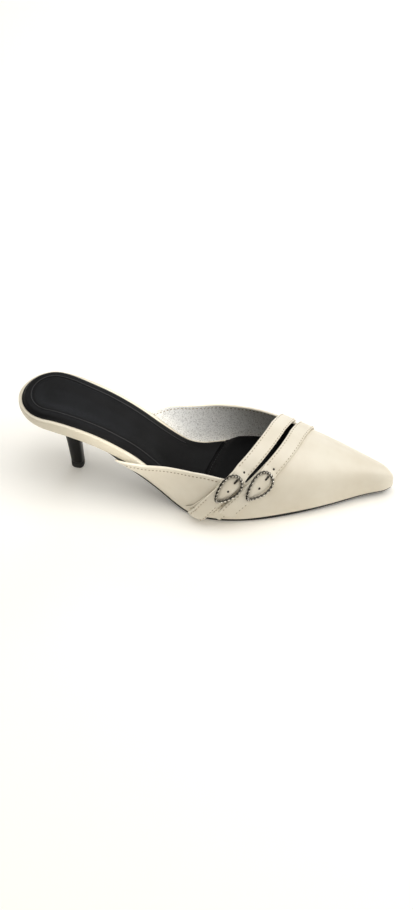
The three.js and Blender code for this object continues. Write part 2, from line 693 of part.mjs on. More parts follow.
// A point over the strap near its buckle, "above" millimetres over the strap's outer face.
function overStrap(path, ahead, aside, above) {
  const spot = walk(path.spot(path.buckleAt), path.direction(path.buckleAt), -ahead, aside);
  const lift = strapLift(path, path.buckleAt - ahead / path.length);
  return form(spot.along, spot.round, lift + STRAP_THICKNESS + CLEARANCE + above);
}

function tubeLoops(points, up, radius, sides, closed) {
  return points.map((point, i) => {
    const before = points[closed ? (i + points.length - 1) % points.length : Math.max(0, i - 1)];
    const after = points[closed ? (i + 1) % points.length : Math.min(points.length - 1, i + 1)];
    const forward = after.clone().sub(before).normalize();
    const outward = up[i].clone().addScaledVector(forward, -up[i].dot(forward)).normalize();
    const aside = forward.clone().cross(outward);
    return Array.from({ length: sides }, (_, k) => {
      const turn = (2 * Math.PI * k) / sides;
      const reach = outward.clone().multiplyScalar(radius * Math.cos(turn));
      return point.clone().add(reach).addScaledVector(aside, radius * Math.sin(turn));
    });
  });
}

function makeBuckle(name, path) {
  const radius = BUCKLE_WIRE / 2;
  const points = [];
  const up = [];
  for (let i = 0; i < RING_STEPS; i++) {
    const { ahead, aside } = ringPoint(i / RING_STEPS);
    const point = overStrap(path, ahead, aside, radius);
    points.push(point);
    up.push(overStrap(path, ahead, aside, radius + 1).sub(point).normalize());
  }
  const loops = tubeLoops(points, up, radius, WIRE_SIDES, true);
  const positions = loops.flat().flatMap((p) => [p.x, p.y, p.z]);
  const quads = gridQuads(RING_STEPS, WIRE_SIDES, true);
  const count = RING_STEPS * WIRE_SIDES;
  const index = quads.flatMap(([a, b, c, d]) => [a, b, c, a, c, d]).map((i) => i % count);
  return mesh(name, closedGeometry(positions, index), SILVER);
}

function makeProng(name, path) {
  const radius = PRONG_WIDTH / 2;
  const start = BUCKLE_LENGTH / 2 - BUCKLE_WIRE - CLEARANCE;
  const shares = [0, 0.25, 0.5, 0.75, 1];
  const points = shares.map((share) => overStrap(path, start - share * PRONG_LENGTH, 0, radius));
  const up = shares.map((share, i) =>
    overStrap(path, start - share * PRONG_LENGTH, 0, radius + 1).sub(points[i]).normalize(),
  );
  return mesh(name, loft(tubeLoops(points, up, radius, WIRE_SIDES, false)), SILVER);
}

// One level of the heel: flat at its front (the breast) and round behind. "seat" blends it from a flat
// section to one that lies along the underside of the footbed board.
const HEEL_SIDES = 20;
function heelLoop(z, centre, length, width, seat) {
  return Array.from({ length: HEEL_SIDES }, (_, i) => {
    const turn = (2 * Math.PI * i) / HEEL_SIDES;
    const ahead = Math.cos(turn) > 0 ? 0.8 * Math.cos(turn) ** 0.5 : Math.cos(turn);
    const side = Math.sign(Math.sin(turn)) * Math.abs(Math.sin(turn)) ** 0.85;
    const x = centre + (ahead * length) / 1.8;
    const drop = soleTopZ(x + HEEL_SETBACK) - soleTopZ(centre + HEEL_SETBACK);
    return new THREE.Vector3(x, (side * width) / 2, z + seat * drop);
  });
}

// Levels of the heel from its foot to its top. "up" is a share of the stem's height, "taper" how far it
// has grown from the foot to the stem, "flare" from the stem to the seat, and "seat" as above.
const HEEL_LEVELS = [
  { up: 0.0, taper: 0, flare: 0, seat: 0 },
  { up: 0.3, taper: 0.4, flare: 0, seat: 0 },
  { up: 0.55, taper: 0.8, flare: 0.02, seat: 0 },
  { up: 0.68, taper: 1, flare: 0.08, seat: 0.05 },
  { up: 0.78, taper: 1, flare: 0.2, seat: 0.2 },
  { up: 0.87, taper: 1, flare: 0.42, seat: 0.45 },
  { up: 0.95, taper: 1, flare: 0.76, seat: 0.8 },
  { up: 1.0, taper: 1, flare: 1, seat: 1 },
];

function makeHeel() {
  const centreAtTop = -HEEL_LEAN;
  const topZ = soleTopZ(centreAtTop + HEEL_SETBACK);
  const loops = HEEL_LEVELS.map(({ up, taper, flare, seat }) => {
    const length = lerp(lerp(HEEL_FOOT_LENGTH, HEEL_STEM_LENGTH, taper), HEEL_TOP_LENGTH, flare);
    const width = lerp(lerp(HEEL_FOOT_WIDTH, HEEL_STEM_WIDTH, taper), HEEL_TOP_WIDTH, flare);
    const z = lerp(HEEL_TIP_HEIGHT + CLEARANCE, topZ, up);
    return heelLoop(z, centreAtTop * up, length, width, seat);
  });
  return mesh("heel", loft(loops), BLACK_GLOSS);
}

function makeHeelTip() {
  const low = heelLoop(0, 0, HEEL_FOOT_LENGTH, HEEL_FOOT_WIDTH, 0);
  const high = heelLoop(HEEL_TIP_HEIGHT, 0, HEEL_FOOT_LENGTH, HEEL_FOOT_WIDTH, 0);
  return mesh("heel_tip", loft([low, high]), BLACK_RUBBER);
}

const rearPath = follow(STRAP_REAR_PATH, REAR_BUCKLE_AT);
const frontPath = follow(STRAP_FRONT_PATH, FRONT_BUCKLE_AT);

const shoe = new THREE.Group();
shoe.add(makeOutsole());
shoe.add(makeBoard());
shoe.add(makeSock());
shoe.add(makeForepad());
shoe.add(makeUpper());
shoe.add(makeStrap("strap_rear", rearPath, TAIL_SLANT_REAR));
shoe.add(makeStrap("strap_front", frontPath, TAIL_SLANT_FRONT));
shoe.add(makeTab("buckle_tab_rear", follow(TAB_REAR_PATH)));
shoe.add(makeTab("buckle_tab_front", follow(TAB_FRONT_PATH)));
shoe.add(makeBuckle("buckle_rear", rearPath));
shoe.add(makeBuckle("buckle_front", frontPath));
shoe.add(makeProng("prong_rear", rearPath));
shoe.add(makeProng("prong_front", frontPath));
shoe.add(makeHeel());
shoe.add(makeHeelTip());

export default shoe;
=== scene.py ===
"""A pointed cream mule for the right foot, with two buckled straps and a slim black heel.

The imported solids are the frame. Each visible piece is built again here from the same sizes, finer and
with its edges, seams, stitches and surface relief. Shapes are worked out in millimetres, in the frame of
the solids: +X towards the toe, -Y the outer side with the buckles, +Z up, and the origin under the heel.
"""
import math

import bpy
import numpy as np
from mathutils import Matrix, Vector


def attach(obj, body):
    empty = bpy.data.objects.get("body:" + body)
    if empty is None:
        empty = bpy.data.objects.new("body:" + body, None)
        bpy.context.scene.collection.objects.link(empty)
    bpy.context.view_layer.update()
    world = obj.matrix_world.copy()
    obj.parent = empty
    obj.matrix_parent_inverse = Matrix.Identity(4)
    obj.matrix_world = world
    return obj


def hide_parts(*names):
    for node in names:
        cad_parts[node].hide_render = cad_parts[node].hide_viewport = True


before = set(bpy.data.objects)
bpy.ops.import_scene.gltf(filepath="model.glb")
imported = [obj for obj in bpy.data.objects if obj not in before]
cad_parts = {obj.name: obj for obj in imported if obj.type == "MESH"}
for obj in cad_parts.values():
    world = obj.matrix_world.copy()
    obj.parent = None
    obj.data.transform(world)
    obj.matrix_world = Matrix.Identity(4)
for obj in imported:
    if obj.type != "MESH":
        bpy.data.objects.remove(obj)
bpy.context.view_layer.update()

MM = 0.001

# Overall sizes, as in the solids
FOOTBED_LENGTH = 259.0
BALL_WIDTH = 74.0
HEEL_HEIGHT = 50.0
INSTEP_HEIGHT = 66.0
QUARTER_HEIGHT = 39.0
HEEL_SETBACK = 38.0

CLEARANCE = 0.3
UPPER_WALL = 1.7
SOLE_THICKNESS = 2.4
SEAT_THICKNESS = 9.8
SOCK_THICKNESS = 2.8
SOCK_INSET = 2.4
SOCK_RIM_WIDTH = 8.0
SOCK_DISH = 1.5
SOCK_ROLL_WIDTH = 3.0
PAD_THICKNESS = 4.2
PAD_CROWN = 1.1
PAD_ROLL_WIDTH = 9.0
PAD_RAMP_LENGTH = 8.0

HEEL_ROUND = 24.0
TOE_ROUND = 6.0
TOE_TOP_ROUND = 11.0
TIP_CUT = 0.12
SEAT_UNDERCUT = 2.4
HEEL_UNDERCUT = 5.5
SEAT_TUCK_LENGTH = 34.0
SEAT_TUCK_SHARE = 0.9
SOLE_REAR_AT = 0.215
SEAM_OUTER_AT = 0.49
SEAM_INNER_AT = 0.545

STRAP_WIDTH = 10.8
STRAP_THICKNESS = 1.5
TAB_WIDTH = 10.0
TAB_THICKNESS = 1.2
TAIL_FLARE = 2.0
TAIL_SLANT_REAR = 7.0
TAIL_SLANT_FRONT = 3.0
REAR_BUCKLE_AT = 0.773
FRONT_BUCKLE_AT = 0.788
TAB_LEAD = 0.06
TAIL_LAG = 0.072
BUCKLE_LENGTH = 23.4
BUCKLE_WIDTH = 15.4
BUCKLE_WIRE = 2.1
PRONG_LENGTH = 3.8
PRONG_WIDTH = 1.6
HEEL_TOP_LENGTH = 36.0
HEEL_TOP_WIDTH = 34.0
HEEL_STEM_LENGTH = 11.0
HEEL_STEM_WIDTH = 11.0
HEEL_FOOT_LENGTH = 9.2
HEEL_FOOT_WIDTH = 9.6
HEEL_LEAN = 3.0
HEEL_TIP_HEIGHT = 5.0

THROAT_OUTER_ALONG = 0.625
THROAT_INNER_ALONG = 0.738
THROAT_BOW = 0.024

# The sole's plan and side view, the upper's form and its topline, as in the solids.
SOLE_COLUMNS = ("at", "half", "middle", "rise", "sole", "board", "trim")
SOLE_SECTIONS = [
    (0.0, 0.352, 0.025, 1.02, 0.0, 1.0, 0.12),
    (0.05, 0.358, 0.021, 1.026, 0.0, 1.0, 0.12),
    (0.1, 0.362, 0.022, 1.008, 0.0, 1.0, 0.12),
    (0.16, 0.361, 0.022, 0.922, 0.1, 1.0, 0.12),
    (0.24, 0.351, 0.014, 0.708, 1.0, 1.03, 0.09),
    (0.28, 0.347, 0.008, 0.598, 1.0, 1.02, 0.05),
    (0.32, 0.342, 0.002, 0.475, 1.0, 0.97, 0.015),
    (0.36, 0.346, -0.006, 0.338, 1.0, 0.84, 0.004),
    (0.4, 0.363, -0.018, 0.193, 1.0, 0.67, 0.0),
    (0.44, 0.397, -0.032, 0.065, 1.0, 0.45, 0.0),
    (0.48, 0.448, -0.04, 0.006, 1.0, 0.3, 0.0),
    (0.56, 0.509, -0.019, 0.0, 1.0, 0.32, 0.0),
    (0.64, 0.508, 0.022, 0.0, 1.0, 0.34, 0.0),
    (0.72, 0.446, 0.048, 0.008, 1.0, 0.36, 0.0),
    (0.8, 0.355, 0.069, 0.029, 0.85, 0.38, 0.003),
    (0.87, 0.252, 0.086, 0.05, 0.72, 0.4, 0.004),
    (0.93, 0.154, 0.099, 0.066, 0.62, 0.4, 0.004),
    (1.0, 0.048, 0.088, 0.085, 0.5, 0.4, 0.003),
]
FORM_COLUMNS = ("at", "ridge", "side", "belly")
FORM_SECTIONS = [
    (0.2, 1.9, 0.07, 0.1),
    (0.3, 1.6, 0.075, 0.11),
    (0.4, 1.32, 0.08, 0.12),
    (0.5, 1.06, 0.09, 0.12),
    (0.6, 0.85, 0.1, 0.12),
    (0.7, 0.675, 0.105, 0.115),
    (0.8, 0.535, 0.105, 0.11),
    (0.88, 0.43, 0.103, 0.1),
    (0.94, 0.35, 0.1, 0.09),
    (1.0, 0.28, 0.088, 0.08),
]
TOPLINE_COLUMNS = ("at", "outer", "inner")
TOPLINE_SECTIONS = [
    (0.275, 0.02, 0.02),
    (0.31, 0.14, 0.08),
    (0.355, 0.335, 0.38),
    (0.405, 0.635, 0.77),
    (0.455, 0.865, 0.96),
    (0.505, 0.928, 1.0),
    (0.555, 0.877, 0.966),
    (0.625, 0.77, 0.9),
    (0.74, 0.7, 0.84),
]
PATH_COLUMNS = ("at", "along", "turn")
STRAP_REAR_PATH = [
    (0.0, 0.694, 0.97),
    (0.185, 0.7, 0.77),
    (0.376, 0.691, 0.565),
    (0.542, 0.649, 0.387),
    (0.698, 0.599, 0.263),
    (0.82, 0.549, 0.171),
    (0.893, 0.52, 0.124),
    (1.0, 0.477, 0.05),
]
STRAP_FRONT_PATH = [
    (0.0, 0.747, 0.97),
    (0.155, 0.753, 0.8),
    (0.34, 0.747, 0.617),
    (0.555, 0.712, 0.411),
    (0.71, 0.671, 0.291),
    (0.845, 0.624, 0.192),
    (0.92, 0.594, 0.146),
    (1.0, 0.563, 0.1),
]
TAB_REAR_PATH = [
    (0.0, 0.575, 0.225),
    (0.3, 0.553, 0.174),
    (0.6, 0.52, 0.122),
    (1.0, 0.473, 0.05),
]
TAB_FRONT_PATH = [
    (0.0, 0.654, 0.25),
    (0.3, 0.627, 0.197),
    (0.6, 0.587, 0.143),
    (1.0, 0.543, 0.07),
]
HEEL_COLUMNS = ("at", "taper", "flare", "seat")
HEEL_LEVELS = [
    (0.0, 0, 0, 0),
    (0.3, 0.4, 0, 0),
    (0.55, 0.8, 0.02, 0),
    (0.68, 1, 0.08, 0.05),
    (0.78, 1, 0.2, 0.2),
    (0.87, 1, 0.42, 0.45),
    (0.95, 1, 0.76, 0.8),
    (1.0, 1, 1, 1),
]


def lerp(a, b, share):
    return a + (b - a) * share


def smoothstep(value, low, high):
    share = np.clip((value - low) / (high - low), 0, 1)
    return share * share * (3 - 2 * share)


def hump(distance, width):
    """A smooth bump: 1 at no distance, nearly 0 at twice the width."""
    return np.exp(-((distance / width) ** 2))


def unit(vectors):
    return vectors / np.maximum(np.linalg.norm(vectors, axis=-1, keepdims=True), 1e-12)


def dot(a, b):
    return np.sum(a * b, axis=-1, keepdims=True)


def spline(rows, columns, column):
    """A smooth curve (natural cubic spline) through one column of a table."""
    x = np.array([row[0] for row in rows])
    y = np.array([row[columns.index(column)] for row in rows], dtype=float)
    last = len(x) - 1
    bend = np.zeros(last + 1)
    load = np.zeros(last + 1)
    for i in range(1, last):
        share = (x[i] - x[i - 1]) / (x[i + 1] - x[i - 1])
        pivot = share * bend[i - 1] + 2
        turn = (y[i + 1] - y[i]) / (x[i + 1] - x[i]) - (y[i] - y[i - 1]) / (x[i] - x[i - 1])
        bend[i] = (share - 1) / pivot
        load[i] = (6 * turn / (x[i + 1] - x[i - 1]) - share * load[i - 1]) / pivot
    bend[last] = 0
    for i in range(last - 1, -1, -1):
        bend[i] = bend[i] * bend[i + 1] + load[i]

    def curve(at):
        place = np.clip(at, x[0], x[last])
        i = np.clip(np.searchsorted(x, place) - 1, 0, last - 1)
        span = x[i + 1] - x[i]
        b = (place - x[i]) / span
        a = 1 - b
        return a * y[i] + b * y[i + 1] + ((a**3 - a) * bend[i] + (b**3 - b) * bend[i + 1]) * span**2 / 6

    return curve


def splines(rows, columns):
    """A smooth curve through each column of a table after the first."""
    return [spline(rows, columns, column) for column in columns[1:]]


half, middle, rise, sole_share, board_share, sole_trim = splines(SOLE_SECTIONS, SOLE_COLUMNS)
ridge, ridge_side, belly = splines(FORM_SECTIONS, FORM_COLUMNS)
topline_outer, topline_inner = splines(TOPLINE_SECTIONS, TOPLINE_COLUMNS)


def rounded_end(distance, radius):
    share = np.clip(distance / radius, 0, 1)
    return np.sqrt(1 - (1 - share) ** 2)


def plan_middle(length):
    return middle(length / FOOTBED_LENGTH) * BALL_WIDTH


def plan_half(length):
    return half(length / FOOTBED_LENGTH) * BALL_WIDTH


def edge_y(length, side, grow):
    """The plan outline's y on one side (-1 outer, 1 inner), grown outwards all round."""
    heel_end = rounded_end(length + grow, HEEL_ROUND + grow)
    toe_end = rounded_end(FOOTBED_LENGTH + grow - length, TOE_ROUND + grow)
    return plan_middle(length) + side * (plan_half(length) + grow) * heel_end * toe_end


def tread_z(length):
    return np.maximum(0, rise(length / FOOTBED_LENGTH) * HEEL_HEIGHT)


def sole_top_z(length):
    return tread_z(length) + np.maximum(0, sole_share(length / FOOTBED_LENGTH)) * SOLE_THICKNESS


def board_top_z(length):
    return sole_top_z(length) + CLEARANCE + board_share(length / FOOTBED_LENGTH) * SEAT_THICKNESS


def board_bottom_z(length):
    tuck = (1 - rounded_end(length, SEAT_TUCK_LENGTH)) * SEAT_THICKNESS * SEAT_TUCK_SHARE
    return sole_top_z(length) + CLEARANCE + tuck


def place(length, y, z):
    """Points in the frame, from lengths measured forwards from the back of the heel."""
    return np.stack(np.broadcast_arrays(length - HEEL_SETBACK, y, z), -1)


# The upper's form. A place on it is a pair: "along" is a share of the whole length, and "turn" goes from 0
# at the outer sole edge over the ridge at 0.5 to 1 at the inner sole edge.
UPPER_GROW = CLEARANCE + UPPER_WALL
FEATHER_ANGLE = math.radians(20)
CROWN_ANGLE = math.pi / 2
SIDE_POWER = 0.92
EXTEND_STEP = 0.04


def form_heights(along, lift):
    length = along * (FOOTBED_LENGTH + UPPER_GROW + lift - TIP_CUT)
    at = length / FOOTBED_LENGTH
    foot = sole_top_z(length) + CLEARANCE
    widest = foot + belly(at) * INSTEP_HEIGHT
    toe_end = rounded_end(FOOTBED_LENGTH + UPPER_GROW + lift - length, TOE_TOP_ROUND + lift)
    crown = (ridge(at) * INSTEP_HEIGHT + lift - widest) * toe_end
    return length, foot, widest, crown


def feather_start(low, crown):
    return np.minimum(crown * FEATHER_ANGLE / low, 1.9)


def form_above_edge(along, turn, lift):
    length, foot, widest, crown = form_heights(along, lift)
    low = widest - foot
    side = np.where(turn < 0.5, -1, 1)
    angle = lerp(-FEATHER_ANGLE, CROWN_ANGLE, 1 - np.abs(2 * turn - 1))
    grow = UPPER_GROW + lift
    feather = edge_y(length, side, grow)
    top = ridge_side(length / FOOTBED_LENGTH) * BALL_WIDTH
    centre = np.clip(top, edge_y(length, -1, grow), edge_y(length, 1, grow))
    reach = (feather - centre) / math.cos(FEATHER_ANGLE) ** SIDE_POWER
    y = centre + reach * np.maximum(np.cos(angle), 0) ** SIDE_POWER
    start = feather_start(low, crown)
    share = -angle / FEATHER_ANGLE
    drop = low * (start * share + (1 - start) * share * share)
    z = np.where(angle >= 0, widest + crown * np.sin(angle), widest - drop)
    return place(length, y, z)


def form(along, turn, lift):
    """The outer face of the upper, lifted outwards, and carried on straight below its sole edge."""
    along, turn, lift = np.broadcast_arrays(along, turn, lift)
    points = form_above_edge(along, np.clip(turn, 0, 1), lift)
    below = turn < 0
    if np.any(below):
        edge = form_above_edge(along, np.zeros_like(turn), lift)
        step = form_above_edge(along, np.full_like(turn, EXTEND_STEP), lift)
        beyond = edge + (edge - step) * (-turn / EXTEND_STEP)[..., None]
        points = np.where(below[..., None], beyond, points)
    return points


def form_normal(along, turn, lift):
    return unit(form(along, turn, lift + 0.5) - form(along, turn, lift))


def turn_at_height(along, height, side):
    """The "turn" at which one side of the form is a given height above the sole edge."""
    _, foot, widest, crown = form_heights(along, 0)
    low = widest - foot
    start = feather_start(low, crown)
    bend = 1 - start
    bend = np.where(np.abs(bend) < 1e-6, 1e-6, bend)
    drop = np.maximum(low - height, 0)
    share = (np.sqrt(start * start + 4 * bend * drop / low) - start) / (2 * bend)
    over = np.arcsin(np.clip((height - low) / crown, 0, 1))
    angle = np.where(height <= low, -FEATHER_ANGLE * share, over)
    found = (angle + FEATHER_ANGLE) / (CROWN_ANGLE + FEATHER_ANGLE) / 2
    return found if side < 0 else 1 - found


WALK_STRIDE = 0.8


def walk(along, turn, direction, ahead, aside):
    """Walks over the form: "ahead" millimetres along a direction given in (along, turn), "aside" across."""
    together = np.broadcast_arrays(along, turn, ahead, aside)
    along, turn, ahead, aside = (np.array(values, dtype=float) for values in together)
    distance = np.hypot(ahead, aside)
    strides = max(1, math.ceil(distance.max() / WALK_STRIDE))
    small = 1e-4
    heading = None
    for _ in range(strides):
        here = form(along, turn, 0)
        by_along = (form(along + small, turn, 0) - here) / small
        by_turn = (form(along, turn + small, 0) - here) / small
        normal = unit(np.cross(by_along, by_turn))
        if heading is None:
            forward = unit(by_along * direction[0][..., None] + by_turn * direction[1][..., None])
            heading = forward * ahead[..., None] + np.cross(normal, forward) * aside[..., None]
        heading = unit(heading - normal * dot(heading, normal)) * (distance / strides)[..., None]
        aa = dot(by_along, by_along)[..., 0]
        ar = dot(by_along, by_turn)[..., 0]
        rr = dot(by_turn, by_turn)[..., 0]
        wa = dot(heading, by_along)[..., 0]
        wr = dot(heading, by_turn)[..., 0]
        size = aa * rr - ar * ar
        along = along + (wa * rr - wr * ar) / size
        turn = turn + (wr * aa - wa * ar) / size
    return along, turn


class Path:
    """A path over the form, with the share of its length at which its buckle sits."""

    def __init__(self, rows, buckle_at=0.0, hole_ahead=0.0):
        self.along, self.turn = splines(rows, PATH_COLUMNS)
        self.buckle_at = buckle_at
        self.hole_ahead = hole_ahead
        at = np.linspace(0, 1, 101)
        line = form(self.along(at), self.turn(at), 0)
        self.length = np.linalg.norm(np.diff(line, axis=0), axis=1).sum()

    def direction(self, at):
        step = 1e-3
        return self.along(at + step) - self.along(at - step), self.turn(at + step) - self.turn(at - step)

    def beside(self, at, aside):
        """(along, turn) of places a given distance beside the path."""
        at, aside = np.broadcast_arrays(at, aside)
        return walk(self.along(at), self.turn(at), self.direction(at), np.zeros_like(aside), aside)


# Meshes


def link_object(name, data):
    made = bpy.data.objects.new(name, data)
    bpy.context.scene.collection.objects.link(made)
    return made


def new_object(name, points, faces, materials, slots=None, smooth=True):
    """An object from points in millimetres. "slots" is the material of each face."""
    mesh = bpy.data.meshes.new(name)
    places = np.asarray(points).reshape(-1, 3) * MM
    corners = [list(map(int, face)) for face in faces]
    mesh.from_pydata(places.tolist(), [], corners)
    mesh.validate()
    for made in materials:
        mesh.materials.append(made)
    if slots is not None:
        mesh.polygons.foreach_set("material_index", np.asarray(slots, dtype=np.int32))
    mesh.polygons.foreach_set("use_smooth", np.full(len(mesh.polygons), smooth))
    mesh.update()
    return link_object(name, mesh)


def circle_turns(count):
    return 2 * math.pi * np.arange(count) / count


def grid_quads(rows, columns, wrap=False):
    width = columns if wrap else columns + 1
    i, j = np.meshgrid(np.arange(rows), np.arange(columns), indexing="ij")
    here = i * width
    after = (j + 1) % width
    return np.stack([here + j, here + after, here + width + after, here + width + j], -1).reshape(-1, 4)


def rounded_solid(outer, inner, quads, bulge, rim=6):
    """A closed solid between two sheets with the same quads, with its rim rounded outwards.

    Returns the points, the faces, and for each face 0 (outer), 1 (inner), 2 or 3 (upper or lower rim)."""
    outer = np.asarray(outer, dtype=float).reshape(-1, 3)
    inner = np.asarray(inner, dtype=float).reshape(-1, 3)
    quads = np.asarray(quads)
    count = len(outer)
    a = quads.ravel()
    b = np.roll(quads, -1, axis=1).ravel()
    twins = set(zip(b.tolist(), a.tolist()))
    open_edges = np.array([(p, q) not in twins for p, q in zip(a.tolist(), b.tolist())])
    corners = outer[quads]
    normals = unit(np.cross(corners[:, 2] - corners[:, 0], corners[:, 3] - corners[:, 1]))
    normals = np.repeat(normals, 4, axis=0)[open_edges]
    start, end = a[open_edges], b[open_edges]
    away = unit(np.cross(outer[end] - outer[start], normals))
    outward = np.zeros_like(outer)
    np.add.at(outward, start, away)
    np.add.at(outward, end, away)
    ring = np.unique(np.concatenate([start, end]))
    slot_of = {int(v): k for k, v in enumerate(ring)}
    outward = unit(outward[ring])
    centre = (outer[ring] + inner[ring]) / 2
    across = (outer[ring] - inner[ring]) / 2
    radius = np.linalg.norm(across, axis=1, keepdims=True)
    layers = []
    for k in range(1, rim):
        angle = math.pi * k / rim
        layers.append(centre + across * math.cos(angle) + outward * radius * bulge * math.sin(angle))
    points = np.concatenate([outer, inner, *layers])

    def layer_index(vertex, k):
        if k == 0:
            return vertex
        if k == rim:
            return vertex + count
        return 2 * count + (k - 1) * len(ring) + slot_of[vertex]

    faces = [tuple(q) for q in quads.tolist()]
    faces += [tuple(v + count for v in reversed(q)) for q in quads.tolist()]
    kinds = [0] * len(quads) + [1] * len(quads)
    for p, q in zip(start.tolist(), end.tolist()):
        for k in range(rim):
            upper = (layer_index(q, k), layer_index(p, k))
            lower = (layer_index(p, k + 1), layer_index(q, k + 1))
            faces.append(upper + lower)
            kinds.append(2 if k < rim / 2 else 3)
    return points, faces, kinds


def loft(loops, closed=False):
    """Points and faces of a skin through loops of points, closed on itself or with flat ends."""
    count = loops.shape[1]
    total = loops.shape[0] * count
    rows = len(loops) if closed else len(loops) - 1
    faces = [tuple(q) for q in (grid_quads(rows, count, True) % total).tolist()]
    if not closed:
        faces.append(tuple(range(count - 1, -1, -1)))
        faces.append(tuple(range(total - count, total)))
    return loops.reshape(-1, 3), faces


def facing_out(points, faces):
    """The same faces, turned over where the solid would be inside out."""
    points = np.asarray(points).reshape(-1, 3)
    centre = points.mean(axis=0)
    volume = 0.0
    for face in faces:
        corner = points[list(face)] - centre
        for k in range(1, len(face) - 1):
            volume += np.dot(corner[0], np.cross(corner[k], corner[k + 1]))
    return faces if volume > 0 else [tuple(reversed(face)) for face in faces]


def tube_loops(points, up, radius, sides, closed):
    points = np.asarray(points)
    if closed:
        forward = unit(np.roll(points, -1, axis=0) - np.roll(points, 1, axis=0))
    else:
        forward = unit(np.gradient(points, axis=0))
    up = unit(up - forward * dot(up, forward))
    aside = np.cross(forward, up)
    turns = circle_turns(sides)
    radius = np.broadcast_to(radius, (len(points),))[:, None, None]
    return points[:, None] + radius * (
        up[:, None] * np.cos(turns)[None, :, None] + aside[:, None] * np.sin(turns)[None, :, None]
    )


def stations(start, end, start_radius, end_radius, stride, corner):
    """Lengths from start to end, closer together where an end of the outline is round."""
    steps = np.arange(1, corner + 1) / corner
    turn = 1 - np.cos(steps * math.pi / 2)
    found = [np.array([start])]
    if start_radius > 0:
        found.append(start + start_radius * turn)
    first = found[-1][-1]
    last = end - end_radius
    strides = max(1, round((last - first) / stride))
    found.append(lerp(first, last, np.arange(1, strides + 1) / strides))
    if end_radius > 0:
        found.append(end - end_radius * np.append(turn[-2::-1], 0))
    return np.concatenate(found)


def spaced(points, normals, pitch):
    """Places, directions and normals at equal spacing along a line of points."""
    reach = np.append(0, np.cumsum(np.linalg.norm(np.diff(points, axis=0), axis=1)))
    marks = np.arange(0.5 * pitch, reach[-1], pitch)

    def values_at(places, rows):
        return np.stack([np.interp(places, reach, rows[:, k]) for k in range(3)], -1)

    ahead = values_at(marks + 0.2 * pitch, points)
    behind = values_at(marks - 0.2 * pitch, points)
    return values_at(marks, points), unit(ahead - behind), unit(values_at(marks, normals))


STITCH_LENGTH = 1.8
STITCH_PITCH = 2.7
THREAD_RADIUS = 0.3
THREAD_SIDES = 8
THREAD_LOOPS = 7


def stitches(name, lines, material, slot):
    """A piece of short threads in rows, sunk at their ends. Each line is (points, normals)."""
    sides = THREAD_SIDES
    turns = circle_turns(sides)
    shares = np.linspace(-1, 1, THREAD_LOOPS)
    points = []
    faces = []
    base = 0
    for line, normals in lines:
        at, forward, up = spaced(np.asarray(line), np.asarray(normals), STITCH_PITCH)
        up = unit(up - forward * dot(up, forward))
        aside = np.cross(forward, up)
        for centre, f, u, a in zip(at, forward, up, aside):
            loops = []
            for share in shares:
                thick = THREAD_RADIUS * math.sqrt(max(0.02, 1 - abs(share) ** 3))
                lift = THREAD_RADIUS * (0.25 - 1.1 * share * share)
                at_share = centre + f * share * STITCH_LENGTH / 2 + u * lift
                around = np.outer(np.cos(turns), u) + np.outer(np.sin(turns), a)
                loops.append(at_share + thick * around)
            loops = np.array(loops)
            points.append(loops.reshape(-1, 3))
            made, tube = loft(loops)
            faces += [tuple(v + base for v in face) for face in tube]
            base += len(made)
    points = np.concatenate(points)
    first = facing_out(points[: len(shares) * sides], faces[: sides * (len(shares) - 1) + 2])
    if first[0] != faces[0]:
        faces = [tuple(reversed(face)) for face in faces]
    add_piece(new_object(name, points, faces, [material]), slot)


# Materials


